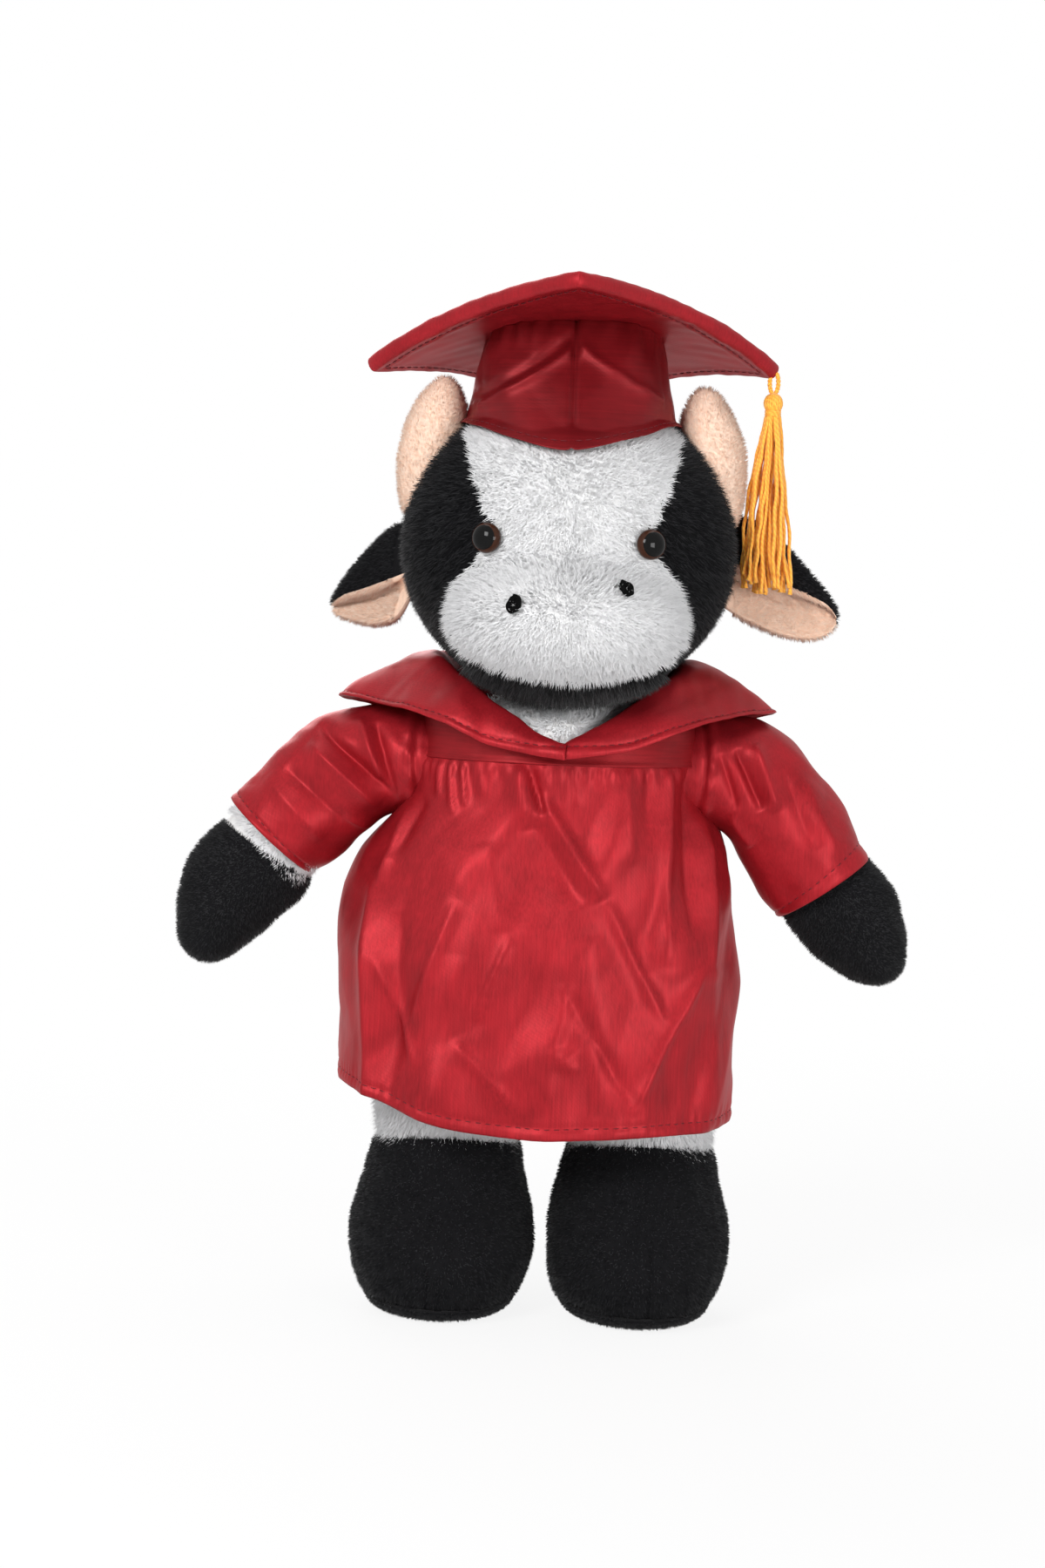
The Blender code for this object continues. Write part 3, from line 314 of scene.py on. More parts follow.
def plush_finish(name, colour, grain, depth):
    """A pile fabric's skin: its colour mottled by noise of that grain in mm, and a soft bump"""
    finish, tree, shader = new_finish(name, {"Roughness": 0.95, "Specular IOR Level": 0.1,
                                             "Sheen Weight": 0.05, "Sheen Roughness": 0.5})
    place = add_node(tree, "TexCoord")
    noise = add_node(tree, "TexNoise", {"Scale": 1000 / grain, "Detail": 3})
    ramp = colour_ramp(tree, np.array(colour) * 0.86, np.array(colour) * 1.06, 0.3, 0.7)
    bump = add_node(tree, "Bump", {"Strength": 0.5, "Distance": depth * mm})
    wire(tree, (place, "Object", noise, "Vector"), (noise, "Fac", ramp, "Fac"),
         (ramp, "Color", shader, "Base Color"), (noise, "Fac", bump, "Height"),
         (bump, "Normal", shader, "Normal"))
    return finish


def pile_shades(name, colours, sheens=(0.1, 0.1, 0.1), light_roughness=0.8):
    """A pile's fibres in three shades, from deep to light"""
    kinds = zip((f"{name}_deep", name, f"{name}_light"), colours, sheens, (0.8, 0.8, light_roughness))
    return tuple(new_finish(kind, {"Base Color": (*colour, 1), "Roughness": roughness,
                                   "Specular IOR Level": 0.12, "Sheen Weight": sheen,
                                   "Sheen Roughness": 0.4})[0] for kind, colour, sheen, roughness in kinds)


def sow(points, faces, count, seed):
    """Places spread evenly over a skin, its normals there, and the faces, which are picked by area"""
    chance = np.random.default_rng(seed)
    normals = point_normals(points, faces)
    corners = points[faces]
    area = np.linalg.norm(np.cross(corners[:, 2] - corners[:, 0], corners[:, 3] - corners[:, 1]), axis=1)
    picked = chance.choice(len(faces), count, p=area / area.sum())
    u, v = chance.uniform(size=(2, count, 1))
    weights = np.stack(((1 - u) * (1 - v), u * (1 - v), u * v, (1 - u) * v), 1)
    places = (points[faces[picked]] * weights).sum(1)
    return places, unit((normals[faces[picked]] * weights).sum(1)), picked


def grow_pile(name, roots, normals, body, shades, length, width, comb, seed, lean=0.45, clump=0.35,
              tuft=5.0, soft=0.75):
    """Fibres as slim closed four-sided spikes, each from a root triangle to one tip

    A fibre's way is the skin's normal, plus the comb direction times lean, plus a wandering that
    neighbours share over tufts of that size in mm, plus a little of its own. Its shading normal
    is the skin's own mixed with the fibre's, so the pile shades as one soft surface.
    """
    chance = np.random.default_rng(seed)
    count = len(roots)
    swirl = np.stack([drift(roots, tuft, seed + k) for k in (11, 12, 13)], -1)
    ways = unit(normals + lean * comb + clump * swirl + 0.22 * chance.normal(size=(count, 3)))
    ways = unit(ways + normals * np.maximum(0, 0.25 - (ways * normals).sum(-1, keepdims=True)))
    reach = length * chance.uniform(0.72, 1.12, (count, 1))
    across = unit(np.cross(ways, unit(chance.normal(size=(count, 3)))))
    along = np.cross(ways, across)
    half = width / 2 * chance.uniform(0.8, 1.25, (count, 1))
    corners = [roots + half * (np.cos(a) * across + np.sin(a) * along) for a in (0, 2.094, 4.189)]
    points = np.stack((*corners, roots + ways * reach), 1).reshape(-1, 3)
    points[:, 2] = np.maximum(points[:, 2], 0)
    first = 4 * np.arange(count)[:, None, None]
    faces = (first + np.array(((0, 1, 3), (1, 2, 3), (2, 0, 3), (0, 2, 1)))).reshape(-1, 3)
    chosen = np.repeat(chance.integers(0, len(shades), count), 4)
    item = put_piece(name, points, faces, body, shades, chosen)
    shaded = unit(soft * normals[:, None] + (1 - soft) * (points.reshape(-1, 4, 3) - roots[:, None]
                                                         + 0.3 * normals[:, None]))
    item.data.normals_split_custom_set_from_vertices(shaded.reshape(-1, 3).tolist())
    return item


def make_head():
    """The head's skin and its pile, and the shades of black and white pile, for other pieces too"""
    rows, columns = 72, 112
    tilt = np.linspace(-np.pi / 2 + 0.03, np.pi / 2 - 0.03, rows)[:, None]
    turn = round_turn(columns)[None, :]
    ways = np.stack(np.broadcast_arrays(np.cos(tilt) * np.cos(turn), np.cos(tilt) * np.sin(turn),
                                        np.sin(tilt)), -1)
    points = (head_middle + ways * head_reach(ways, skin_inset)[..., None]).reshape(-1, 3)
    faces = closed_faces(rows, columns)
    white = face_is_white(points[faces].mean(1))
    # The white face's backing is painted darker than its fibres and the body's white backing, as painted
    # shade deep in the pile; the black backing is the cloth's own colour.
    skins = (plush_finish("black_plush_backing", (0.006, 0.006, 0.007), 2.5, 0.5),
             plush_finish("white_plush_backing_painted_shade", (0.74, 0.74, 0.74), 2.5, 0.08))
    head = put_piece("head_plush", points, faces, "head_body", skins, white.astype(int))
    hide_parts("head_hood", "head_face", "head_stuffing", "eye_washer_left", "eye_washer_right")

    roots, normals, _ = sow(points, faces, 98000, 5)
    white = face_is_white(roots)
    offset = roots - head_middle
    hidden = (offset[:, 2] < -47.5) & (offset[:, 1] > -30)
    (left_eye, eye_height), (right_eye, _) = eye_places["left"], eye_places["right"]
    from_eye = np.hypot(offset[:, 0] - np.where(offset[:, 0] > 0, left_eye, right_eye),
                        offset[:, 2] - eye_height)
    eye_bare = (from_eye < 5.0) & (offset[:, 1] < 0)
    # The pile falls down the head, and outwards from the middle of the face
    fall = np.stack((0.35 * np.sign(offset[:, 0]) * np.minimum(1, np.abs(offset[:, 0]) / 12),
                     0.2 * np.ones(len(roots)), -np.ones(len(roots))), -1)
    fall = fall - normals * (fall * normals).sum(-1, keepdims=True)
    # The light shade of black fibres is partly random tone and partly painted glint; it also has real gloss.
    black_shades = pile_shades("black_pile", ((0.004, 0.004, 0.005), (0.007, 0.007, 0.008),
                                              (0.018, 0.018, 0.020)), (0.04, 0.06, 0.12), 0.5)
    white_shades = pile_shades("white_pile", ((0.82, 0.82, 0.83), (0.89, 0.89, 0.90), (0.93, 0.93, 0.94)))
    # Under the chin the pile is longer and hangs; low on the sides the collar keeps it short
    side_pile = np.interp(offset[:, 2], (-30, -16), (2.5, 3.6))
    chin = np.where((offset[:, 2] < -38) & (offset[:, 1] < -22), 5.2, side_pile)[:, None]
    for side, sign in (("left", 1), ("right", -1)):
        keep = ~white & ~hidden & ~eye_bare & (offset[:, 0] * sign > 0)
        fur = grow_pile(f"head_pile_black_{side}", roots[keep], normals[keep], "head_body", black_shades,
                        chin[keep], 0.40, fall[keep], 21, lean=0.7, clump=0.25)
    # On the white face it is shortest at the foot, where it meets the black, and there it stands
    # out more than it falls
    short = np.interp(offset[:, 2], (-43, -34, -24, -6, 8, 40), (2.8, 3.4, 4.0, 3.8, 3.4, 3.2))[:, None]
    drawn = fall * np.interp(offset[:, 2], (-43, -36, -25), (0.15, 0.5, 1.0))[:, None]
    keep = white & ~(from_eye < 3.4)
    fur = grow_pile("head_pile_white", roots[keep], normals[keep], "head_body", white_shades,
                    short[keep], 0.42, drawn[keep], 22, lean=0.5, clump=0.10, tuft=6.0, soft=0.9)
    return black_shades, white_shades


black_shades, white_shades = make_head()


# The eyes: domes of black plastic with a dark brown rim, each pushed through the skin on a stem.
# Nostrils: ovals of black thread, wound and sewn flat on the muzzle.
nostril_places = {"left": (17.5, -13.2), "right": (-16.9, -19.4)}


def turned(profile, place, axis, columns):
    """A profile of (radius, height) turned about an axis through a place"""
    profile = np.asarray(profile, float)
    across = unit(np.cross(axis, (0.0, 0.0, 1.0)))
    along = np.cross(axis, across)
    angle = round_turn(columns)[None, :, None]
    ring = np.cos(angle) * across + np.sin(angle) * along
    points = place + profile[:, 0, None, None] * ring + profile[:, 1, None, None] * axis
    return points.reshape(-1, 3), closed_faces(len(profile), columns)


def cord_runs(paths, radius, columns, side=(0.0, 1.0, 0.0)):
    """Round cords along paths of equally many points, closed at both ends

    Each point's ring stands square to the path; radius may be a number or one for each point.
    """
    paths = np.asarray(paths, float)
    count, steps = paths.shape[:2]
    ways = unit(np.gradient(paths, axis=1))
    across = unit(np.cross(ways, side))
    along = np.cross(ways, across)
    angle = round_turn(columns)[None, None, :, None]
    girth = np.broadcast_to(radius, (count, steps))[..., None, None]
    ring = np.cos(angle) * across[:, :, None] + np.sin(angle) * along[:, :, None]
    points = (paths[:, :, None] + girth * ring).reshape(-1, 3)
    faces = closed_faces(steps, columns)[None] + (np.arange(count) * steps * columns)[:, None, None]
    return points, faces.reshape(-1, 4)


def gloss_finish(name, colour, roughness, grain=1.5, shine=0.3):
    """Moulded plastic or waxed thread, its polish a little uneven"""
    finish, tree, shader = new_finish(name, {"Base Color": (*colour, 1), "Specular IOR Level": shine})
    place = add_node(tree, "TexCoord")
    noise = add_node(tree, "TexNoise", {"Scale": 1000 / grain})
    span = add_node(tree, "MapRange", {"To Min": roughness * 0.7, "To Max": roughness * 1.4})
    wire(tree, (place, "Object", noise, "Vector"), (noise, "Fac", span, "Value"),
         (span, "Result", shader, "Roughness"))
    return finish


def make_eyes():
    """The eyes' domes and the nostrils' wound thread"""
    pupil = gloss_finish("eye_black", (0.003, 0.003, 0.003), 0.06, shine=0.14)
    rim = gloss_finish("eye_brown_rim", (0.040, 0.013, 0.006), 0.10, shine=0.16)
    thread = gloss_finish("nostril_thread_black", (0.002, 0.002, 0.002), 0.7, 0.5, 0.04)
    rise = np.radians(np.linspace(8, 88, 14))
    profile = [(0.1, -3.2), (3.4, -2.8), (4.6, -1.0), (4.9, 0.0)]
    profile += list(zip(4.9 * np.cos(rise) ** 0.9, 3.6 * np.sin(rise)))
    for side in ("left", "right"):
        seat = head_front(*eye_places[side])
        facing = unit((seat - head_middle) / head_radii ** 2)
        points, faces = turned(profile, seat + facing * 1.2, facing, 40)
        away = np.linalg.norm(np.cross(points[faces].mean(1) - seat, facing), axis=1)
        eye = put_piece(f"eye_{side}_dome", points, faces, "head_body", (pupil, rim),
                        (away > 3.75).astype(int))
        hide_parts(f"eye_{side}")

        seat = head_front(*nostril_places[side])
        offset = seat - head_middle - muzzle_middle
        facing = unit(offset / muzzle_radii ** 2)
        across = unit(np.cross((0, 0, 1.0), facing))
        upward = np.cross(facing, across)
        # Wound thread: turns of an oval growing outwards, each turn laid beside the last
        turn = np.linspace(0, 2 * np.pi * 3.3, 110)[:, None]
        size = 0.35 + 0.65 * turn / turn[-1]
        path = (seat + facing * (0.6 + 0.3 * np.sin(turn * 4)) + across * np.cos(turn) * 2.2 * size
                + upward * np.sin(turn) * 2.9 * size)
        points, faces = cord_runs(path[None], 0.62, 7, facing)
        nostril = put_piece(f"nostril_{side}_thread", points, faces, "head_body", (thread,))
        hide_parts(f"nostril_{side}")


make_eyes()


# The horns: stubby cones of peach fleece, stuffed and sewn on the head's sides with a seam up the
# inner edge. The ears: leaves of black short-pile cloth lined with peach, folded over in front.
horn_spread, horn_back = 45.2, 5.0
ear_hinge_out, ear_hinge_back = 53.3, 20.0


def hump(value, centre, width):
    """A smooth hump, 1 high at a centre, that falls off over a width to both sides"""
    return np.exp(-((value - centre) / width) ** 2)


def outward(points, faces):
    """The faces, turned over where the closed form that they make has a negative volume"""
    corners = points[faces]
    volume = (corners[:, 0] * np.cross(corners[:, 1], corners[:, 2])).sum()
    if faces.shape[1] == 4:
        volume += (corners[:, 0] * np.cross(corners[:, 2], corners[:, 3])).sum()
    return faces if volume > 0 else faces[:, ::-1]


def curve_through(table, count, closed=False):
    """Rows read evenly along a Catmull-Rom curve through a table's rows"""
    table = np.asarray(table, float)
    last = len(table) if closed else len(table) - 1
    place = np.linspace(0, last, count, endpoint=not closed)
    first = np.minimum(place.astype(int), last - 1)
    t = (place - first).reshape((-1,) + (1,) * (table.ndim - 1))
    pick = [(first + k) % len(table) if closed else np.clip(first + k, 0, len(table) - 1)
            for k in (-1, 0, 1, 2)]
    before, here, after, beyond = (table[k] for k in pick)
    return 0.5 * (2 * here + (after - before) * t + (2 * before - 5 * here + 4 * after - beyond) * t ** 2
                  + (3 * here - before - 3 * after + beyond) * t ** 3)


def stitch_run(line, facing, length, space, radius):
    """Stitches along a line: short cords, thicker in the middle, that dive into the cloth at both ends"""
    run = np.concatenate(((0,), np.cumsum(np.linalg.norm(np.diff(line, axis=0), axis=1))))
    count = int(run[-1] / (length + space))
    start = (np.arange(count) + 0.5) * run[-1] / count
    share = np.array((-0.5, -0.25, 0.0, 0.25, 0.5))
    along = start[:, None] + share * length
    path = np.stack([np.interp(along, run, line[:, k]) for k in range(3)], -1)
    lift = np.stack([np.interp(along, run, facing[:, k]) for k in range(3)], -1)
    path = path + unit(lift) * (radius * np.array((-0.9, 0.3, 0.6, 0.3, -0.9)))[:, None]
    return cord_runs(path, radius * np.array((0.5, 1.0, 1.05, 1.0, 0.5)), 6, unit(facing.mean(0)) + 1e-3)


def joined(*forms):
    """Several forms' points and faces as one"""
    starts = np.cumsum([0] + [len(points) for points, _ in forms])
    return (np.concatenate([points for points, _ in forms]),
            np.concatenate([faces + start for (_, faces), start in zip(forms, starts)]))


def make_horns(shades):
    """Both horns with their pile and the seams on their inner edges"""
    fleece = plush_finish("peach_fleece", (0.92, 0.68, 0.54), 1.6, 0.2)
    thread = gloss_finish("peach_thread", (0.62, 0.42, 0.30), 0.6, 0.4)
    # How far up, the middle's lean inwards, and the half width
    table = ((10, 0, 9.5), (16, 0, 11.4), (24, -0.2, 11.8), (32, -0.3, 11.3), (39, 0.3, 10.2),
             (45, 1.0, 8.4), (49.5, 1.7, 6.2), (52.6, 2.1, 3.9), (54.3, 2.3, 1.6), (54.7, 2.3, 0.15))
    rows = curve_through(table, 44)
    angle = round_turn(48)[None, :]
    for side, sign in (("left", 1), ("right", -1)):
        # The seam on the inner edge pulls the round form in a little
        pinch = 1 - 0.07 * hump(np.sin((angle - np.pi * 0.08) / 2), 0, 0.09)
        half = rows[:, 2, None] * pinch
        points = np.stack((sign * (horn_spread - rows[:, 1, None] - half * np.cos(angle)),
                           horn_back - half * np.sin(angle),
                           head_middle[2] + rows[:, 0, None] + 0 * half), -1).reshape(-1, 3)
        points = points + 0.25 * drift(points, 9.0, 31)[:, None] * unit(points - head_middle)
        faces = outward(points, closed_faces(len(rows), 48))
        horn = put_piece(f"horn_{side}_fleece", points, faces, "head_body", (fleece,))
        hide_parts(f"horn_{side}")
        roots, normals, _ = sow(points, faces, 9000, 41)
        away = np.stack((0 * roots[:, 0], 0 * roots[:, 0], np.ones(len(roots))), -1)
        fur = grow_pile(f"horn_{side}_pile", roots, normals, "head_body", shades, 1.5, 0.30, away, 42,
                        tuft=2.5)
        seam = points.reshape(len(rows), 48, 3)[8:-3, 2]
        facing = unit(seam - (head_middle + (sign * horn_spread, horn_back, 30)))
        stitches = put_piece(f"horn_{side}_seam", *stitch_run(seam, facing, 2.0, 0.9, 0.22), "head_body",
                             (thread,))


def make_ear(side, sign, sweep, table, shades):
    """A folded leaf

    Each row across it is a closed curve in the plane of forward and up: from the peach lip over
    the black fold and down the back to the bottom edge, then up the peach hollow to the crease.
    table gives how far out, the top, the edge between black and peach, the bottom, and the depth.
    """
    rows = curve_through(table, 46)
    out, top, edge, foot, deep = rows.T[:, :, None]
    tall = top - foot
    fold = top - edge
    outline = np.stack([np.stack(np.broadcast_arrays(d * deep, z), -1) for d, z in (
        (3.7, edge - 2.6 * deep), (5.1, edge - 0.6), (5.3, edge + 0.35 * fold), (3.7, edge + 0.82 * fold),
        (0.6, top), (-2.9, top - 0.2 * tall), (-3.9, top - 0.5 * tall), (-2.7, foot + 0.2 * tall),
        (0.2, foot + 0.3), (2.8, foot + 0.3), (2.6, foot + 2.4 * deep), (0.2, foot + 0.3 * tall),
        (-0.9, edge - 0.35 * (edge - foot)), (1.4, edge - 1.9 * deep))])[:, :, 0]
    columns = 56
    ring = curve_through(outline, columns, closed=True).transpose(1, 0, 2)
    forward, up = ring[..., 0], ring[..., 1] + head_middle[2]
    away = np.broadcast_to(out, forward.shape)
    forward = forward + 0.5 * np.sin(away / 5.5 + up / 7)
    turn = np.radians(sweep)
    points = np.stack((sign * (ear_hinge_out + away * np.cos(turn) + forward * np.sin(turn)),
                       ear_hinge_back + away * np.sin(turn) - forward * np.cos(turn), up), -1).reshape(-1, 3)
    faces = closed_faces(len(rows), columns)
    column = np.concatenate((np.tile(np.arange(columns), len(rows) - 1), np.full(columns - 2, 20)))
    peach = ((column < 4) | (column >= 31)).astype(int)
    faces = outward(points, faces)
    skins = (plush_finish(f"ear_{side}_black_minky", (0.006, 0.006, 0.007), 1.6, 0.3),
             plush_finish(f"ear_{side}_peach_lining", (0.90, 0.64, 0.49), 1.6, 0.2))
    body = f"ear_{side}_body"
    leaf = put_piece(f"ear_{side}_leaf", points, faces, body, skins, peach)
    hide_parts(f"ear_{side}", f"ear_lining_{side}")
    roots, normals, picked = sow(points, faces, 16000, 51)
    outwards = np.stack((sign * np.ones(len(roots)), 0 * roots[:, 0], -0.8 * np.ones(len(roots))), -1)
    from_root = ((sign * roots[:, 0] - ear_hinge_out) * np.cos(turn)
                 + (roots[:, 1] - ear_hinge_back) * np.sin(turn))
    for name, lining, colours in (("black_pile", 0, shades[0]), ("peach_pile", 1, shades[1])):
        keep = (peach[picked] == lining) & (from_root > 2.6)
        fur = grow_pile(f"ear_{side}_{name}", roots[keep], normals[keep], body, colours, 1.7, 0.30,
                        outwards[keep], 52, tuft=2.5)


# The minky's light fibre shade is partly random tone and partly painted glint; it also has real gloss.
minky_shades = pile_shades("minky_pile", ((0.004, 0.004, 0.005), (0.008, 0.008, 0.009),
                                          (0.015, 0.015, 0.017)), (0.04, 0.06, 0.12), 0.5)
peach_shades = pile_shades("peach_pile", ((0.90, 0.57, 0.41), (0.94, 0.65, 0.49), (0.97, 0.74, 0.60)))
make_horns(peach_shades)
make_ear("left", 1, 8, (
    (-3.5, 12.0, -1.0, -15.0, 0.55), (2, 13.8, -1.5, -18.6, 0.85), (11, 10.2, -5.2, -22.8, 1.0),
    (20, 3.4, -8.2, -25.6, 1.0), (28, -4.6, -11.3, -26.6, 0.85), (34, -10.8, -14.0, -25.4, 0.6),
    (37.4, -15.4, -17.2, -22.8, 0.35), (38.4, -18.9, -19.3, -20.2, 0.05)), (minky_shades, peach_shades))
make_ear("right", -1, 48, (
    (-3.5, 6.5, -9.0, -18.0, 0.55), (2, 6.8, -11.0, -25.0, 0.85), (10, 3.4, -13.2, -27.2, 1.0),
    (18, -2.4, -15.2, -27.6, 1.0), (27, -9.8, -17.2, -26.6, 0.85), (33, -15.6, -19.2, -25.6, 0.6),
    (36.6, -19.2, -20.7, -24.0, 0.35), (37.8, -21.5, -21.8, -22.5, 0.05)), (minky_shades, peach_shades))


# The cap: a stiff square board covered with red satin, its cover stitched round the edge, on a
# crown band of the same satin with a seam at the front, gathered a little where it meets the board.
cap_tilt = np.radians(9.8)
cap_middle = head_middle + (0, -4.0, 0)
cap_up = np.array((0, np.sin(cap_tilt), np.cos(cap_tilt)))
cap_front = np.array((0, -np.cos(cap_tilt), np.sin(cap_tilt)))
board_reach, board_rise, board_droop, nose_droop, back_fall = 70.0, 75.6, 13.8, 3.5, 0.045
crown_half_width, crown_half_depth = 33.4, 36.2
# How near the board's edge is to its middle, as a share of its corner's distance
edge_share = 0.7071
stitch_inset = 4.6


def satin_finish(name, colour, turned=False):
    """Satin: a deep colour, tinted gloss, threads that run up the cloth and a fine weave's bump

    The threads are noise stretched 30 to 1 along them; a coarser noise mottles the colour and the
    gloss, as pressed cloth has it. Turned cloth has its threads across.
    """
    finish, tree, shader = new_finish(name, {"Metallic": 0.30, "Specular IOR Level": 0.35,
                                             "Specular Tint": (1.0, 0.42, 0.42, 1)})
    place = add_node(tree, "TexCoord")
    mapping = add_node(tree, "Mapping", {"Scale": (60, 60, 1800) if turned else (1800, 1800, 60)})
    threads = add_node(tree, "TexNoise", {"Scale": 1, "Detail": 2})
    mottle = add_node(tree, "TexNoise", {"Scale": 90, "Detail": 4})
    halved = add_node(tree, "Math", {1: 0.5}, operation="MULTIPLY")
    both = add_node(tree, "Math", {1: 0.5}, operation="MULTIPLY_ADD")
    ramp = colour_ramp(tree, np.array(colour) * 0.70, np.array(colour) * 1.22, 0.30, 0.70)
    polish = add_node(tree, "MapRange", {"To Min": 0.37, "To Max": 0.54})
    weave = add_node(tree, "TexWave", {"Scale": 2600 / 6.28}, bands_direction="DIAGONAL")
    fine = add_node(tree, "Bump", {"Strength": 0.12, "Distance": 0.05 * mm})
    soft = add_node(tree, "Bump", {"Strength": 0.38, "Distance": 0.06 * mm})
    wire(tree, (place, "Object", mapping, "Vector"), (place, "Object", mottle, "Vector"),
         (place, "Object", weave, "Vector"), (mapping, "Vector", threads, "Vector"),
         (mottle, "Fac", halved, 0), (threads, "Fac", both, 0), (halved, 0, both, 2), (both, 0, ramp, "Fac"),
         (mottle, "Fac", polish, "Value"), (ramp, "Color", shader, "Base Color"),
         (polish, "Result", shader, "Roughness"), (threads, "Fac", soft, "Height"),
         (weave, "Fac", fine, "Height"), (soft, "Normal", fine, "Normal"), (fine, "Normal", shader, "Normal"))
    return finish


def weld(item, distance=0.004):
    """Merges points of a piece that lie within that many mm"""
    form = bmesh.new()
    form.from_mesh(item.data)
    bmesh.ops.remove_doubles(form, verts=form.verts, dist=distance * mm)
    form.to_mesh(item.data)
    form.free()


def cap_place(s, t, h):
    """Places on the leaning cap: s to its left, t to its front and h up from the head's middle

    The cap sits a little askew: it rises to its left with height.
    """
    s, t, h = (np.asarray(value, float)[..., None] for value in np.broadcast_arrays(s, t, h))
    rise = h + 0.034 * s * np.clip((h - 35) / 35, 0, 1)
    return cap_middle + (s - 1.0) * (1.0, 0, 0) + t * cap_front + rise * cap_up


def board_height(s, t):
    """The board's middle height, which sags to its sides, its nose and its back"""
    return (board_rise - board_droop * (np.abs(s) / board_reach) ** 2.6 - nose_droop * (t / board_reach) ** 2
            - back_fall * (board_reach - t))


def board_place(s, t, rise):
    """A place that far above the board's sagging middle surface, square to it"""
    step = 0.4
    across = (cap_place(s + step, t, board_height(s + step, t))
              - cap_place(s - step, t, board_height(s - step, t)))
    along = (cap_place(s, t + step, board_height(s, t + step))
             - cap_place(s, t - step, board_height(s, t - step)))
    square = unit(np.cross(along, across))
    square = square * np.sign((square * cap_up).sum(-1, keepdims=True))
    return cap_place(s, t, board_height(s, t)) + square * np.asarray(rise)[..., None], square


def make_board(satin, thread):
    """The board's cover, both sides welded at the rounded edge, and its stitches"""
    count = 150
    share = np.sin(np.linspace(-np.pi / 2, np.pi / 2, count))
    share = 0.5 * share + 0.5 * np.linspace(-1, 1, count)
    a, b = np.meshgrid(share, share, indexing="ij")
    pull = board_reach * (1 - 0.040 * np.abs(a * b) ** 9 + 0.004 * (a ** 2 + b ** 2) ** 2 / 4)
    s, t = pull * (a - b) / 2, pull * (a + b) / 2
    # Distance from the nearest edge in mm gives the rounded edge, the stitched groove and a ridge
    edge = (1 - np.maximum(np.abs(a), np.abs(b))) * board_reach * edge_share
    round_off = np.sqrt(1 - (1 - np.minimum(1, edge / 2.0)) ** 2)
    groove = 0.35 * hump(edge, stitch_inset, 0.7) - 0.16 * hump(edge, 6.4, 0.9)
    second = 0.20 * hump(edge, 10.2, 0.6)
    place = cap_place(s, t, 0 * s)
    soft = 0.30 * drift(place, 26.0, 61) + 0.10 * drift(place, 9.0, 62)
    ripple = 0.12 * hump(edge, 3, 3.5) * np.sin((s + 0.35 * t) / 1.3) * np.sin((t - s) / 2.1)
    forms = []
    for side in (1, -1):
        half = ((2.75 + soft * 0.6 + ripple) * round_off - (groove + second) * (side > 0)
                - 0.7 * groove * (side < 0))
        points, square = board_place(s, t, side * np.maximum(half * round_off ** 0.3, 0))
        faces = grid_faces(count, count, wrapped=False)
        way = np.cross(points[1, 0] - points[0, 0], points[0, 1] - points[0, 0]) @ cap_up
        forms.append((points.reshape(-1, 3), faces if (way * side) < 0 else faces[:, ::-1]))
    points, faces = joined(*forms)
    board = put_piece("cap_board_cover", points, faces, "cap_body", (satin,))
    weld(board)
    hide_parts("cap_board_top", "cap_board_underside", "cap_board_insert")
    forms = []
    inner = 1 - stitch_inset / (board_reach * edge_share)
    line = np.linspace(-inner + 0.01, inner - 0.01, 120)
    for side, rise in ((1, 2.62), (-1, 2.72)):
        for a, b in ((line, line * 0 + inner), (line, line * 0 - inner), (line * 0 + inner, line),
                     (line * 0 - inner, line)):
            path, square = board_place(board_reach * (a - b) / 2, board_reach * (a + b) / 2,
                                       side * rise + 0 * a)
            forms.append(stitch_run(path, square * side, 2.3, 0.8, 0.17))
    seam = put_piece("cap_board_stitches", *joined(*forms), "cap_body", (thread,))


def crumple(places, size, seed):
    """Sharp-edged waves of about -1 to 1: three zigzags in random directions, bent by a slow drift"""
    chance = np.random.default_rng(seed)
    ways = (unit(chance.normal(size=(3, 3)) * (1, 1, 0.6)) * (2 * np.pi / size)
            * chance.uniform(0.7, 1.4, (3, 1)))
    turns = (places @ ways.T + chance.uniform(0, 2 * np.pi, 3)
             + 1.3 * drift(places, 2.2 * size, seed + 7)[..., None])
    return np.arcsin(0.985 * np.sin(turns)).sum(-1) / 2.4


def clear_of_head(places, distance):
    """Places, those nearer the head's middle than its surface and that distance moved out to there"""
    offset = places - head_middle
    reach = head_reach(unit(offset), 0.0) + distance
    size = np.linalg.norm(offset, axis=-1)
    return head_middle + offset * np.maximum(1, reach / size)[..., None]


def tube_faces(rows, columns):
    """The faces of a tube of cloth: rows of rings outside, as many inside, and the rim that joins them"""
    k = np.arange(columns)
    last = (2 * rows - 1) * columns
    rim = np.stack((last + k, last + (k + 1) % columns, (k + 1) % columns, k), -1)
    return np.concatenate((grid_faces(2 * rows, columns), rim))


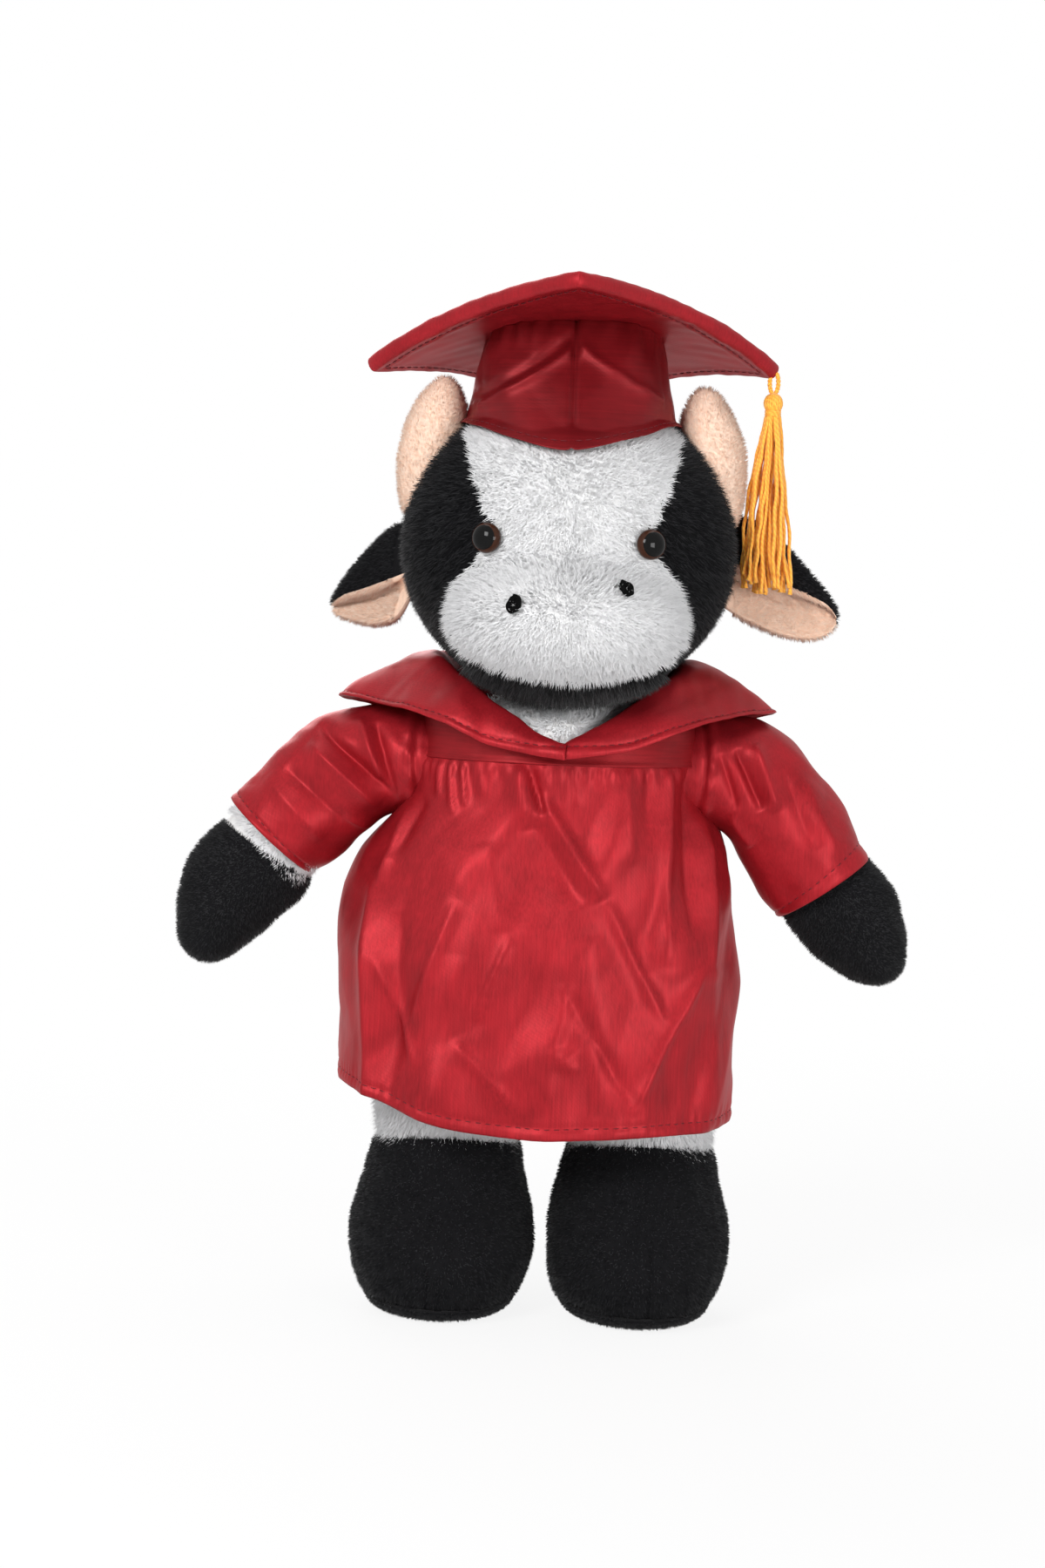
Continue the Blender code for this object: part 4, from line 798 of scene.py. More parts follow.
def make_crown(satin, thread):
    """The crown's band, from where it stands clear of the head up to the board, and its stitches"""
    rows, columns = 70, 240
    angle = round_turn(columns)
    front = np.maximum(0, np.sin(angle))
    s0 = (crown_half_width + 1.4) * np.cos(angle)
    t0 = (crown_half_depth + 6.9 * (front > 0)) * np.sin(angle)
    # The band's foot: the lowest height at which it stands clear of the head, found by halving
    low, high = np.full(columns, 12.0), np.full(columns, 60.0)
    for _ in range(24):
        half = (low + high) / 2
        offset = cap_place(s0, t0, half) - head_middle
        clear = np.linalg.norm(offset, axis=-1) > head_reach(unit(offset), -0.4)
        low, high = np.where(clear, low, half), np.where(clear, half, high)
    foot = high - 0.6 - 1.2 * np.cos(angle) ** 2 + 0.25 * np.sin(7 * angle)
    top = board_height(s0 * 0.83, t0 * (1 - 0.42 * front)) - 2.6
    share = np.linspace(0, 1, rows)[:, None]
    height = foot + (top - foot) * share
    pinch = hump(angle, np.pi / 2, 0.022)
    # Seam at the front, a slanting wrinkle on each front panel, and gathers under the board
    across = np.cos(angle)[None, :] * crown_half_width
    slope = across * 0.62 - (share - 0.52) * 34
    first = np.exp(-np.abs((slope + 9) / 1.5) ** 1.4) * (across < -1) * (across > -30)
    first = first - 0.8 * np.exp(-((slope + 12.6) / 1.9) ** 2) * (across < -1)
    slope = across * 0.55 + (share - 0.50) * 30
    other = np.exp(-np.abs((slope - 10) / 1.7) ** 1.4) * (across > 2) * (across < 29)
    gather = 0.45 * hump(share, 1, 0.16) * np.sin(23 * angle + 1.5 * np.sin(3 * angle))
    belly = 0.7 * np.sin(np.pi * share) - 1.9 * pinch
    swell = belly + front * (2.1 * first + 1.8 * other) + gather + 0.45 * crumple(
        cap_place(s0, t0, 0 * s0)[None] + share[..., None] * (0, 0, 50.0), 22.0, 63)
    swell = swell + 0.35 * hump(share * (top - foot), 2.2, 1.6)
    s = s0 * (1 - 0.17 * share) + np.cos(angle) * swell
    t = t0 * (1 - 0.42 * share * front) + np.sin(angle) * (swell - 0.4)
    outside = clear_of_head(cap_place(s, t, height), 1.9)
    inside = clear_of_head(cap_place(s * 0.965, t * 0.965, height), 0.9)
    points = np.concatenate((outside, inside[::-1])).reshape(-1, 3)
    faces = outward(points, tube_faces(rows, columns))
    band = put_piece("cap_crown_band", points, faces, "cap_body", (satin,))
    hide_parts("cap_crown")
    level = int(3.6 / 45 * rows)
    order = np.concatenate((np.arange(columns // 4 + 1, columns), np.arange(0, columns // 4)))
    facing = unit(outside[level] - cap_place(0 * angle, 0 * angle, height[level]))
    run = stitch_run(outside[level][order] + 0.1 * facing[order], facing[order], 2.3, 0.8, 0.17)
    seam = put_piece("cap_crown_stitches", *run, "cap_body", (thread,))


red_satin = satin_finish("red_satin_cloth", (0.305, 0.011, 0.017))
# The crown's satin runs its threads across, and its colour is painted darker than the board's, as painted
# shade under the board's overhang.
turned_satin_painted_shade = satin_finish("red_satin_turned_painted_shade", (0.16, 0.006, 0.009), turned=True)
red_thread = gloss_finish("red_thread", (0.12, 0.004, 0.008), 0.5, 0.4)
make_board(red_satin, red_thread)
make_crown(turned_satin_painted_shade, red_thread)


# The tassel: twisted golden cords, folded over a loop at the board's left corner and bound under
# the fold. The strands spread as they hang and end at uneven heights.
tassel_top = np.array((66.7, 5.63, 303.86))
knot_middle = tassel_top - (1.2, 0, 2.5)
strand_length = 60.0


def cord_finish(name, colour):
    """Twisted cord: fine slanting bands darken the colour and raise the ply"""
    finish, tree, shader = new_finish(name, {"Roughness": 0.55, "Sheen Weight": 0.3})
    place = add_node(tree, "TexCoord")
    ply = add_node(tree, "TexWave", {"Scale": 330, "Distortion": 1.5}, wave_type="BANDS",
                   bands_direction="DIAGONAL")
    ramp = colour_ramp(tree, np.array(colour) * (0.92, 0.78, 0.6), np.minimum(1, np.array(colour) * 1.08))
    bump = add_node(tree, "Bump", {"Strength": 0.5, "Distance": 0.2 * mm})
    wire(tree, (place, "Object", ply, "Vector"), (ply, "Fac", ramp, "Fac"),
         (ramp, "Color", shader, "Base Color"), (ply, "Fac", bump, "Height"),
         (bump, "Normal", shader, "Normal"))
    return finish


def make_tassel():
    """The loop, the knot and the strands, each a bundle of cords"""
    gold = cord_finish("gold_cord_ply", (1.0, 0.46, 0.045))
    # The loop: two cords twisted round one another, from the board's corner to the knot
    turn = np.linspace(0, 2 * np.pi, 60)
    low = tassel_top + (-1.2, 0, 0.6)
    high = cap_place(board_reach - 3.5, 0.0, board_height(board_reach - 3.5, 0.0))
    loops = [low + (high - low) * (0.5 + 0.5 * np.cos(turn))[:, None]
             + np.stack((np.sin(turn) * 1.4 + 0.4 * np.cos(9 * turn + phase),
                         0.42 * np.sin(9 * turn + phase), 0 * turn), -1) for phase in (0, np.pi)]
    loop = put_piece("tassel_hanger", *cord_runs(loops, 0.45, 8), "cap_body", (gold,))
    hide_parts("tassel_loop")
    # The knot: cords side by side over a ball, and three turns of binding below it
    angle = round_turn(22)
    rise = np.linspace(np.radians(78), np.radians(-62), 12)
    ways = np.stack((np.cos(rise) * np.cos(angle[:, None]), np.cos(rise) * np.sin(angle[:, None]),
                     np.sin(rise) * np.ones((22, 1))), -1)
    folded = cord_runs(knot_middle + ways * (2.75, 2.75, 3.0), 0.52, 7, (0.3, 0.5, 0.8))
    turn = np.linspace(0, 6 * np.pi, 90)
    binding = knot_middle + np.stack((2.35 * np.cos(turn), 2.35 * np.sin(turn),
                                      -2.3 - 1.7 * turn / turn[-1]), -1)
    wound = cord_runs(binding[None], 0.42, 7, (0, 0, 1.0))
    core = turned([(0.1, -3.6), (2.0, -3.2), (2.4, 0), (2.0, 1.8), (0.1, 2.6)], knot_middle,
                  np.array((0.0, 0.02, 1.0)), 16)
    knot = put_piece("tassel_head", *joined(folded, wound, core), "tassel_knot_body", (gold,))
    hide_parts("tassel_knot")
    # The strands: cords packed at the binding, which bow a little
    chance = np.random.default_rng(71)
    count = 36
    spot = np.sqrt((np.arange(count) + 0.5) / count)[:, None]
    bearing = (np.arange(count) * 2.39996 + chance.normal(0, 0.12, count))[:, None]
    share = np.linspace(0, 1, 30)[None, :]
    length = strand_length - 0.8 + chance.uniform(-5.5, 0.8, (count, 1))
    wide = 2.0 + (9.2 - 2.0) * share ** 0.8
    deep = 2.0 + (6.0 - 2.0) * share ** 0.8
    bow = chance.normal(0, 0.8, (2, count, 1)) * np.sin(np.pi * share) * 1.2
    wave = share ** 0.5 * sum(size * np.sin(share * chance.uniform(*turns, (count, 1))
                                            + chance.uniform(0, 6.3, (count, 1)))
                              for size, turns in ((0.32, (16, 34)), (0.5, (6, 10))))
    foot = knot_middle[2] - 3.1
    strands = np.stack((knot_middle[0] + spot * np.cos(bearing) * wide + bow[0] + wave,
                        knot_middle[1] + spot * np.sin(bearing) * deep + bow[1] + wave,
                        foot - share * length + 0 * spot), -1)
    girth = 0.58 * (1 + 0.10 * np.sin(share * length * 4.2)) * (1 + 0.5 * np.maximum(0, share - 0.97) / 0.03)
    fringe = put_piece("tassel_cords", *cord_runs(strands, girth, 8), "tassel_strands_body", (gold,))
    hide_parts("tassel_strands")


make_tassel()


# The body: a white plush bag, stuffed firm. Only the chest shows, in the collar's V, so the long
# pile stands there and the rest is under the gown.
torso_foot, neck_height = 84.0, 204.0
torso_half_width, torso_half_depth = 50.0, 39.0


def make_torso():
    """The body's skin, and the pile on its chest"""
    # How far up, and the half width and half depth there as shares
    table = ((0.00, 0.55, 0.52), (0.03, 0.80, 0.78), (0.09, 0.94, 0.92), (0.20, 1.00, 1.00),
             (0.39, 0.97, 0.98), (0.59, 0.89, 0.90), (0.76, 0.86, 0.86), (0.87, 0.82, 0.82),
             (0.93, 0.70, 0.73), (0.975, 0.53, 0.61), (1.0, 0.42, 0.54), (1.06, 0.40, 0.50))
    rows = curve_through(table, 60)
    angle = round_turn(72)[None, :]
    tall = neck_height - torso_foot - 2 * skin_inset
    points = np.stack((np.cos(angle) * (rows[:, 1, None] * torso_half_width - skin_inset),
                       np.sin(angle) * (rows[:, 2, None] * torso_half_depth - skin_inset),
                       torso_foot + skin_inset + rows[:, 0, None] * tall + 0 * angle), -1)
    points = points.reshape(-1, 3)
    # The chest bulges forward in the collar's V
    bulge = 10.0 * np.exp(-(points[:, 0] / 22) ** 2 - ((points[:, 2] - 193) / 11) ** 2)
    points[:, 1] -= bulge * (points[:, 1] < 0)
    faces = closed_faces(len(rows), 72)
    torso = put_piece("torso_plush", points, faces, "torso_body",
                      (plush_finish("torso_plush_backing", (0.90, 0.89, 0.88), 2.5, 0.3),))
    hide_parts("torso_skin", "torso_stuffing")
    roots, normals, _ = sow(points, faces, 90000, 81)
    keep = (roots[:, 2] > 178) & (roots[:, 1] < -8) & (np.abs(roots[:, 0]) < 34)
    fall = np.broadcast_to((0, -0.2, -1.0), normals[keep].shape)
    fur = grow_pile("chest_pile_white", roots[keep], normals[keep], "torso_body", white_shades, 4.0, 0.46,
                    fall, 82, lean=0.6, clump=0.5)


make_torso()


# The gown: red satin, a smooth yoke with a wide skirt gathered to it, wide sleeves set into the
# armholes and a broad collar in two halves. It hangs in the folds it was packed in.
hem_height, hem_slant, seam_height, gown_top = 66.0, 13.5, 182.0, 201.5
gown_half_width, gown_half_depth = 64.5, 52.0
# How far up, and the half width and half depth there as shares
gown_table = ((0.00, 0.985, 1.00), (0.22, 1.005, 0.98), (0.42, 1.00, 0.95), (0.55, 0.965, 0.90),
              (0.64, 0.90, 0.87), (0.71, 0.82, 0.84), (0.78, 0.75, 0.82), (0.87, 0.73, 0.79),
              (0.95, 0.70, 0.77), (0.98, 0.62, 0.71), (1.00, 0.53, 0.64))
seam_share = (seam_height - hem_height) / (gown_top - hem_height)
# The skirt's folds seen in front, by their start, end, rise, width and lean
skirt_folds = (((-10.8, 182), (-5.2, 165), -2.3, 1.5, -0.3), ((-14.0, 182), (-9.5, 160), 1.3, 2.6),
               ((-6.5, 172), (15, 139), 2.1, 2.7, 0.35), ((-11, 166), (9, 137), -1.0, 2.6),
               ((-35.5, 181), (-33.5, 163), 1.1, 1.1), ((-31.5, 181), (-30, 166), 1.0, 1.0),
               ((-38.8, 181), (-38, 168), 0.9, 1.0), ((-26, 182), (-25, 170), 0.6, 1.1),
               ((35.0, 183), (36.6, 118), 1.6, 2.8), ((41.0, 184), (44.5, 126), -1.6, 2.2),
               ((46.5, 184), (52, 112), 1.7, 2.9), ((28.5, 183), (28, 160), -0.8, 2.0),
               ((20, 182), (24, 150), 0.7, 2.6), ((3, 182), (6, 168), 0.5, 1.6),
               ((-47, 166), (-58, 140), 1.5, 1.5), ((-42, 168), (-54, 148), -1.1, 1.6),
               ((-50, 172), (-60, 152), -1.2, 1.4), ((50, 170), (58, 146), -1.4, 1.8),
               ((-59.5, 142), (-57.5, 64), 2.3, 3.0, -0.3), ((-50.5, 132), (-50, 70), -1.1, 4.5),
               ((-30, 120), (-38, 64), 0.8, 6.5), ((-8, 128), (-14, 60), -0.9, 7.0),
               ((12, 128), (18, 58), 0.9, 6.5), ((36, 116), (40, 60), -0.9, 6.0),
               ((52, 118), (55, 64), 1.2, 5.0), ((2, 92), (8, 84), 0.7, 1.4),
               ((9, 93), (3, 85), 0.5, 1.2), ((-22, 156), (-16, 128), 0.7, 4.0),
               ((-13, 127), (-24, 99), 1.2, 2.0), ((26, 71), (50, 121), 1.4, 2.2),
               ((-2, 71), (5, 113), 1.0, 2.0), ((-45, 97), (-31, 137), 1.2, 2.2),
               ((28, 73), (4, 111), -1.1, 2.0), ((38, 98), (16, 139), 1.1, 2.0),
               ((-31, 93), (-7, 69), 1.0, 2.0), ((-57, 119), (-43, 83), 1.1, 1.8))


def fold(x, z, start, end, rise, width, lean=0.0):
    """A fold along a line of the front view

    Its height falls off steeply beside the line, which leaves a crisp crest, and tapers to its
    ends; lean makes it steeper on one side.
    """
    start, end = np.array(start, float), np.array(end, float)
    way = end - start
    size = np.linalg.norm(way)
    along = ((x - start[0]) * way[0] + (z - start[1]) * way[1]) / size ** 2
    off = ((x - start[0]) * way[1] - (z - start[1]) * way[0]) / size
    taper = np.clip(1 - np.abs(2 * along - 1) ** 4, 0, 1) * (np.abs(along - 0.5) < 0.5)
    spread = width * (1 + lean * np.tanh(off / width))
    return rise * taper * np.exp(-np.abs(off / spread) ** 1.35)


def grid_normals(grid, wrapped):
    """The normals of a surface given as rows of points, from the differences of its neighbours"""
    if wrapped:
        across = np.roll(grid, -1, axis=1) - np.roll(grid, 1, axis=1)
    else:
        across = np.gradient(grid, axis=1)
    return unit(np.cross(across, np.gradient(grid, axis=0)))


def cloth_tube(outside, thick):
    """A tube of cloth: rings outside, the same rings drawn in by the thickness, and both rims"""
    rows, columns = outside.shape[:2]
    normals = grid_normals(outside, True)
    middle = outside.mean(1, keepdims=True)
    normals = normals * np.sign(((outside - middle) * normals).sum(-1).mean())
    points = np.concatenate((outside, (outside - thick * normals)[::-1])).reshape(-1, 3)
    return points, outward(points, tube_faces(rows, columns))


def cloth_panel(middle, thick):
    """A panel of cloth: an open grid of points thickened evenly to both sides, with its rim closed"""
    rows, columns = middle.shape[:2]
    normals = grid_normals(middle, False)
    points = np.concatenate((middle + normals * thick / 2, middle - normals * thick / 2)).reshape(-1, 3)
    count = rows * columns
    index = np.arange(count).reshape(rows, columns)
    rim = np.concatenate((index[0, :-1], index[:-1, -1], index[-1, :0:-1], index[:0:-1, 0]))
    after = np.roll(rim, -1)
    face = grid_faces(rows, columns, wrapped=False)
    side = np.stack((after, rim, rim + count, after + count), -1)
    faces = np.concatenate((face, face[:, ::-1] + count, side))
    return points, outward(points, faces)


def gown_rows(low_share, high_share, rows, columns):
    """The gown's smooth form: ovals that grow boxy towards the hem, with each point's share and angle"""
    table = curve_through(gown_table, 300)
    share = np.linspace(low_share, high_share, rows)[:, None]
    width = np.interp(share, table[:, 0], table[:, 1]) * gown_half_width
    depth = np.interp(share, table[:, 0], table[:, 2]) * gown_half_depth
    angle = round_turn(columns)[None, :]
    box = 2 / (2 + 0.9 * np.clip(1 - share / 0.75, 0, 1))
    x = np.sign(np.cos(angle)) * np.abs(np.cos(angle)) ** box * width
    y = np.sign(np.sin(angle)) * np.abs(np.sin(angle)) ** box * depth
    # The skirt hangs a little to the right, and its hem rises there and a little at the back
    shift = np.interp(share, (0, 0.5, 0.6, 0.66, 0.72, 1), (-4.4, -4.6, -3.1, -1.4, -0.4, -0.8))
    slant = (hem_slant * np.maximum(0, -np.cos(angle)) ** 1.3 + 3 * np.maximum(0, np.cos(angle))
             + 4 * np.maximum(0, np.sin(angle)) - 3.5)
    z = hem_height + share * (gown_top - hem_height) + slant * np.clip(1 - share / seam_share, 0, 1)
    return x + shift, y, z, share, angle


def skirt_relief(x, y, z, share, angle):
    """How far the skirt stands out from its smooth form: folds in front, and hanging ones all round"""
    front = np.clip((-y - 8) / 14, 0, 1)
    seen = sum(fold(x, z, *values) for values in skirt_folds)
    chance = np.random.default_rng(91)
    hang = np.clip(1 - share / 0.80, 0, 1)
    drape = (np.cos(7 * angle + 0.8) * 1.6 + np.cos(11 * angle + 2.1) * 0.8
             + np.cos(4 * angle + 0.4) * 1.0) * hang ** 1.1
    gathers = 0
    for centre, width, tall, rise in zip(chance.uniform(0, np.pi, 30) - 0.15, chance.uniform(0.02, 0.05, 30),
                                         chance.uniform(0.10, 0.45, 30), chance.uniform(0.7, 2.0, 30)):
        gap = np.angle(np.exp(1j * (angle - centre - 0.10 * (0.83 - share) * np.sin(9 * centre))))
        fade = np.clip((share - (0.83 - tall)) / tall, 0, 1)
        gathers = gathers + rise * hump(gap, 0, width * (1.6 - 0.6 * fade)) * fade ** 0.7
    place = np.stack(np.broadcast_arrays(x, y, z), -1)
    wander = 0.6 * drift(place, 38.0, 92) + 1.35 * crumple(place, 44.0, 93) + 0.42 * crumple(place, 21.0, 94)
    pinched = 0.45 * hump(0.832, share, 0.02) * np.sin(58 * angle + 2 * np.sin(5 * angle))
    return 1.55 * seen * front + drape * (1 - 0.72 * front) + gathers * (1 - 0.8 * front) + wander + pinched


def stitched_ring(ring, facing, length, space, radius):
    """Stitches round a closed ring of points, in stretches of 42 points"""
    ring, facing = (np.concatenate((line, line[:1])) for line in (ring, facing))
    return [stitch_run(ring[a:a + 43], facing[a:a + 43], length, space, radius)
            for a in range(0, len(ring) - 1, 42)]


def make_skirt(satin, thread):
    """The gathered skirt with its hem, and the stitches of the hem and of the yoke's seam"""
    rows, columns = 132, 336
    x, y, z, share, angle = gown_rows(0.0, seam_share, rows, columns)
    x, y, z = np.broadcast_arrays(x, y, z)
    ways = unit(np.stack((x / gown_half_width ** 2, y / gown_half_depth ** 2, 0 * x), -1))
    relief = skirt_relief(x, y, z, share, angle)
    from_hem = share * (gown_top - hem_height)
    hem_depth = 3.9
    relief = relief * (1 - 0.8 * hump(seam_height - hem_height, from_hem, 2.0))
    relief = relief - 0.35 * hump(from_hem, hem_depth, 0.6) + 0.30 * hump(from_hem, 1.6, 1.3)
    relief = relief + 0.16 * hump(from_hem, 4, 3) * np.sin(90 * angle + 4 * np.sin(7 * angle))
    outside = np.stack((x, y, z), -1) + ways * relief[..., None]
    outside[..., 2] = np.where(share < 0.2, outside[..., 2] + 0.5 * np.sin(5 * angle + 1) * (1 - share / 0.2),
                               outside[..., 2])
    skirt = put_piece("gown_skirt_cloth", *cloth_tube(outside, 0.8), "torso_body", (satin,))
    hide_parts("gown_skirt")
    row = int(round(hem_depth / (gown_top - hem_height) / share[-1, 0] * (rows - 1)))
    hem = stitched_ring(outside[row], ways[row], 2.2, 0.9, 0.16)
    seam = stitched_ring(outside[-1] - (0, 0, 0.4) + ways[row] * 0.1, ways[row], 2.0, 0.8, 0.15)
    stitches = put_piece("gown_skirt_stitches", *joined(*hem, *seam), "torso_body", (thread,))


def make_yoke(satin):
    """The smooth yoke, open in front where the neckline's V is"""
    rows, columns = 60, 240
    x, y, z, share, angle = gown_rows(seam_share - 0.006, 1.0, rows, columns)
    x, y, z = (np.array(value) for value in np.broadcast_arrays(x, y, z))
    ways = unit(np.stack((x / gown_half_width ** 2, y / gown_half_depth ** 2, 0 * x), -1))
    place = np.stack((x, y, z), -1)
    relief = (0.3 * drift(place, 22.0, 95) + 0.22 * crumple(place, 18.0, 96) + 0.45
              + 0.4 * np.exp(-((share - share[0]) * 135 / 1.2) ** 2))
    outside = place + ways * relief[..., None]
    points, faces = cloth_tube(outside, 0.8)
    # The cloth ends at the neckline, under the collar that follows it
    middle = points[faces].mean(1)
    edge = np.interp(np.abs(middle[:, 0]), (0, 8, 18.3, 29, 34), (184.6, 189, 197.5, 202, 204))
    faces = faces[~((middle[:, 1] < 0) & (middle[:, 2] > edge))]
    yoke = put_piece("gown_yoke_cloth", points, faces, "torso_body", (satin,))
    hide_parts("gown_yoke")


def make_sleeve(side, sign, top_line, foot_line, folds, satin, thread):
    """A wide sleeve between the lines that its top and its foot follow in the front view"""
    rows, columns = 120, 168
    top = curve_through(top_line, rows)
    foot = curve_through(foot_line, rows)
    share = np.linspace(0, 1, rows)[:, None]
    middle = (top + foot) / 2
    half = (top - foot) / 2
    angle = round_turn(columns)[None, :]
    depth = 19.6 - 2.3 * share ** 1.5
    square = 1 - 0.05 * np.cos(2 * angle) * share
    x = middle[:, :1] + half[:, :1] * np.cos(angle) * square
    z = middle[:, 1:] + half[:, 1:] * np.cos(angle) * square
    y = depth * np.sin(angle) * square
    ways = unit(np.stack((half[:, :1] / 380 * np.cos(angle), np.sin(angle) / depth,
                          half[:, 1:] / 380 * np.cos(angle)), -1))
    front = np.clip((-y - 2) / 7, 0, 1)
    relief = 1.5 * sum(fold(x, z, *values) for values in folds) * front
    sag = sum(fold(x, z, (sign * a, b), (sign * c, d), rise, width) for a, b, c, d, rise, width in (
        (50, 190, 74, 160, 1.5, 3.2), (54, 176, 78, 148, -1.3, 3.0), (58, 196, 90, 172, -1.1, 3.2),
        (52, 168, 66, 150, 1.2, 2.4), (70, 188, 98, 160, 0.9, 4.0)))
    back = np.clip((y - 2) / 7, 0, 1)
    place = np.stack((x, y, z), -1)
    length = np.linalg.norm(np.diff(middle, axis=0), axis=1).sum()
    from_cuff = (1 - share) * length
    hem_depth = 4.4
    relief = (relief + sag * back + 0.30 * drift(place, 20.0, 101) + 0.55 * crumple(place, 26.0, 102)
              + 0.18 * crumple(place, 11.0, 103))
    relief = relief * np.clip(from_cuff / 5, 0.25, 1) * np.clip(share / 0.05, 0.2, 1)
    relief = relief - 0.35 * hump(from_cuff, hem_depth, 0.6) + 0.3 * hump(from_cuff, 1.6, 1.4)
    # The armhole's seam: a puckered groove with the sleeve rising beside it
    off = sign * x - 46.0 - 1.2 * np.sin(z / 9)
    relief = (relief + 0.8 * hump(off, 2.3, 1.5) * (1 + 0.4 * np.sin(z / 1.1))
              - 0.9 * hump(off, 0, 0.8))
    outside = place + ways * relief[..., None]
    body = f"arm_{side}_body"
    sleeve = put_piece(f"sleeve_{side}_cloth", *cloth_tube(outside, 0.8), body, (satin,))
    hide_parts(f"gown_sleeve_{side}")
    row = int(round((1 - hem_depth / length) * (rows - 1)))
    forms = stitched_ring(outside[row], ways[row], 2.1, 0.8, 0.16)
    seam = put_piece(f"sleeve_{side}_stitches", *joined(*forms), body, (thread,))


def make_collar(side, sign, satin, thread):
    """A half collar: rows from the back to the V, each from the seam over the fold to the edge"""
    reach, depth, drop, top = (73.0 if sign < 0 else 69.8), 44.0, 32.5, 214.0
    table = np.array((
        ((0.000, 0.75, 0.33), (0.000, 0.86, 0.00), (0.000, 0.97, 0.38), (0.000, 1.06, 0.80)),
        ((0.225, 0.69, 0.33), (0.270, 0.80, 0.00), (0.320, 0.90, 0.34), (0.360, 0.98, 0.74)),
        ((0.400, 0.42, 0.33), (0.500, 0.48, 0.00), (0.640, 0.53, 0.24), (0.760, 0.56, 0.58)),
        ((0.450, 0.00, 0.33), (0.580, 0.00, 0.00), (0.800, 0.01, 0.17), (1.005, 0.02, 0.46)),
        ((0.410, -0.42, 0.34), (0.530, -0.41, 0.12), (0.680, -0.42, 0.28), (0.830, -0.42, 0.50)),
        ((0.330, -0.72, 0.43), (0.370, -0.73, 0.36), (0.470, -0.80, 0.46), (0.580, -0.86, 0.60)),
        ((0.170, -0.91, 0.68), (0.190, -0.92, 0.62), (0.250, -0.98, 0.70), (0.310, -1.02, 0.83)),
        ((0.004, -1.03, 0.86), (0.004, -1.05, 0.83), (0.004, -1.08, 0.88), (0.004, -1.09, 0.95))))
    rows, columns = 150, 64
    grid = curve_through(table, rows)
    grid = curve_through(grid.transpose(1, 0, 2), columns).transpose(1, 0, 2)
    along = np.linspace(0, 1, rows)[:, None]
    across = np.linspace(0, 1, columns)[None, :]
    middle = np.stack((sign * grid[..., 0] * reach, grid[..., 1] * depth, top - grid[..., 2] * drop), -1)
    # The right half lies over the left where they meet in front
    cross = np.clip((along - 0.93) / 0.07, 0, 1)
    middle[..., 0] += sign * cross * (-1.6 if side == "right" else 0.4)
    middle[..., 1] += cross * (-0.9 if side == "right" else 0.9)
    normals = grid_normals(middle, False)
    normals = normals * np.sign(normals[rows // 2, columns // 2, 2])
    hem_depth = 1.9
    inward = (1 - across) * np.linalg.norm(middle[:, -1] - middle[:, 0], axis=-1)[:, None]
    relief = (0.40 * drift(middle, 26.0, 111) + 0.40 * crumple(middle, 24.0, 112)
              + 0.12 * crumple(middle, 9.0, 113) + 0.8 * np.sin(np.pi * across ** 1.5)
              - 0.28 * hump(inward, hem_depth, 0.5) + 0.22 * hump(inward, 0.8, 0.6))
    relief = relief + 0.8 * across ** 4 * np.sin(13 * along + 0.6) * np.clip(along / 0.1, 0, 1)
    middle = middle + normals * relief[..., None]
    collar = put_piece(f"collar_{side}_cloth", *cloth_panel(middle, 1.1), "torso_body", (satin,))
    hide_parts(f"gown_collar_{side}")
    edge = np.argmin(np.abs(inward - hem_depth), axis=1)
    line = middle[np.arange(rows), edge] + normals[np.arange(rows), edge] * 0.62
    forms = [stitch_run(line[a:a + 26], normals[a:a + 26, -4], 1.9, 0.7, 0.15)
             for a in range(0, rows - 1, 25)]
    seam = put_piece(f"collar_{side}_stitches", *joined(*forms), "torso_body", (thread,))


# The yoke's satin runs its threads across, and its colour is painted darker than the skirt's, as painted
# shade on the upper gown.
make_yoke(satin_finish("red_satin_yoke_painted_shade", (0.24, 0.009, 0.013), turned=True))
make_skirt(red_satin, red_thread)
make_sleeve("right", -1,
            ((-38, 196), (-56, 197.6), (-71, 195.2), (-82, 191.6), (-93, 181), (-102, 171.2),
             (-108.6, 164.6)),
            ((-38, 161), (-50, 161), (-57, 159.5), (-63.5, 153.5), (-70, 147.3), (-75.6, 142.8),
             (-80.6, 139.9)),
            (((-79.5, 190), (-52, 166), -2.4, 2.3, 0.3), ((-83, 184), (-58, 164), 1.8, 2.6),
             ((-61, 192), (-53, 168), -1.8, 1.7), ((-66, 193), (-58, 172), 1.2, 2.0),
             ((-90, 176), (-66, 156), -1.2, 2.6), ((-96, 172), (-76, 152), 0.9, 3.2),
             ((-70, 160), (-60, 156), 0.9, 1.6)), red_satin, red_thread)
make_sleeve("left", 1,
            ((38, 197), (54, 198.8), (66, 197.0), (76, 190.8), (85, 181.6), (94.7, 170.5), (104.2, 153.4)),
            ((38, 161), (50, 161), (56, 157.5), (60.5, 150), (65, 143.4), (69.3, 136.8), (73.6, 131.8)),
            (((57, 188), (66, 168), -2.0, 2.0, -0.3), ((63, 190), (71, 168), 1.5, 2.4),
             ((52, 186), (58, 168), -1.3, 1.6), ((72, 182), (84, 156), -1.0, 3.2),
             ((80, 178), (92, 154), 0.8, 3.6), ((56, 166), (64, 156), 1.1, 1.8)), red_satin, red_thread)
make_collar("right", -1, red_satin, red_thread)
make_collar("left", 1, red_satin, red_thread)


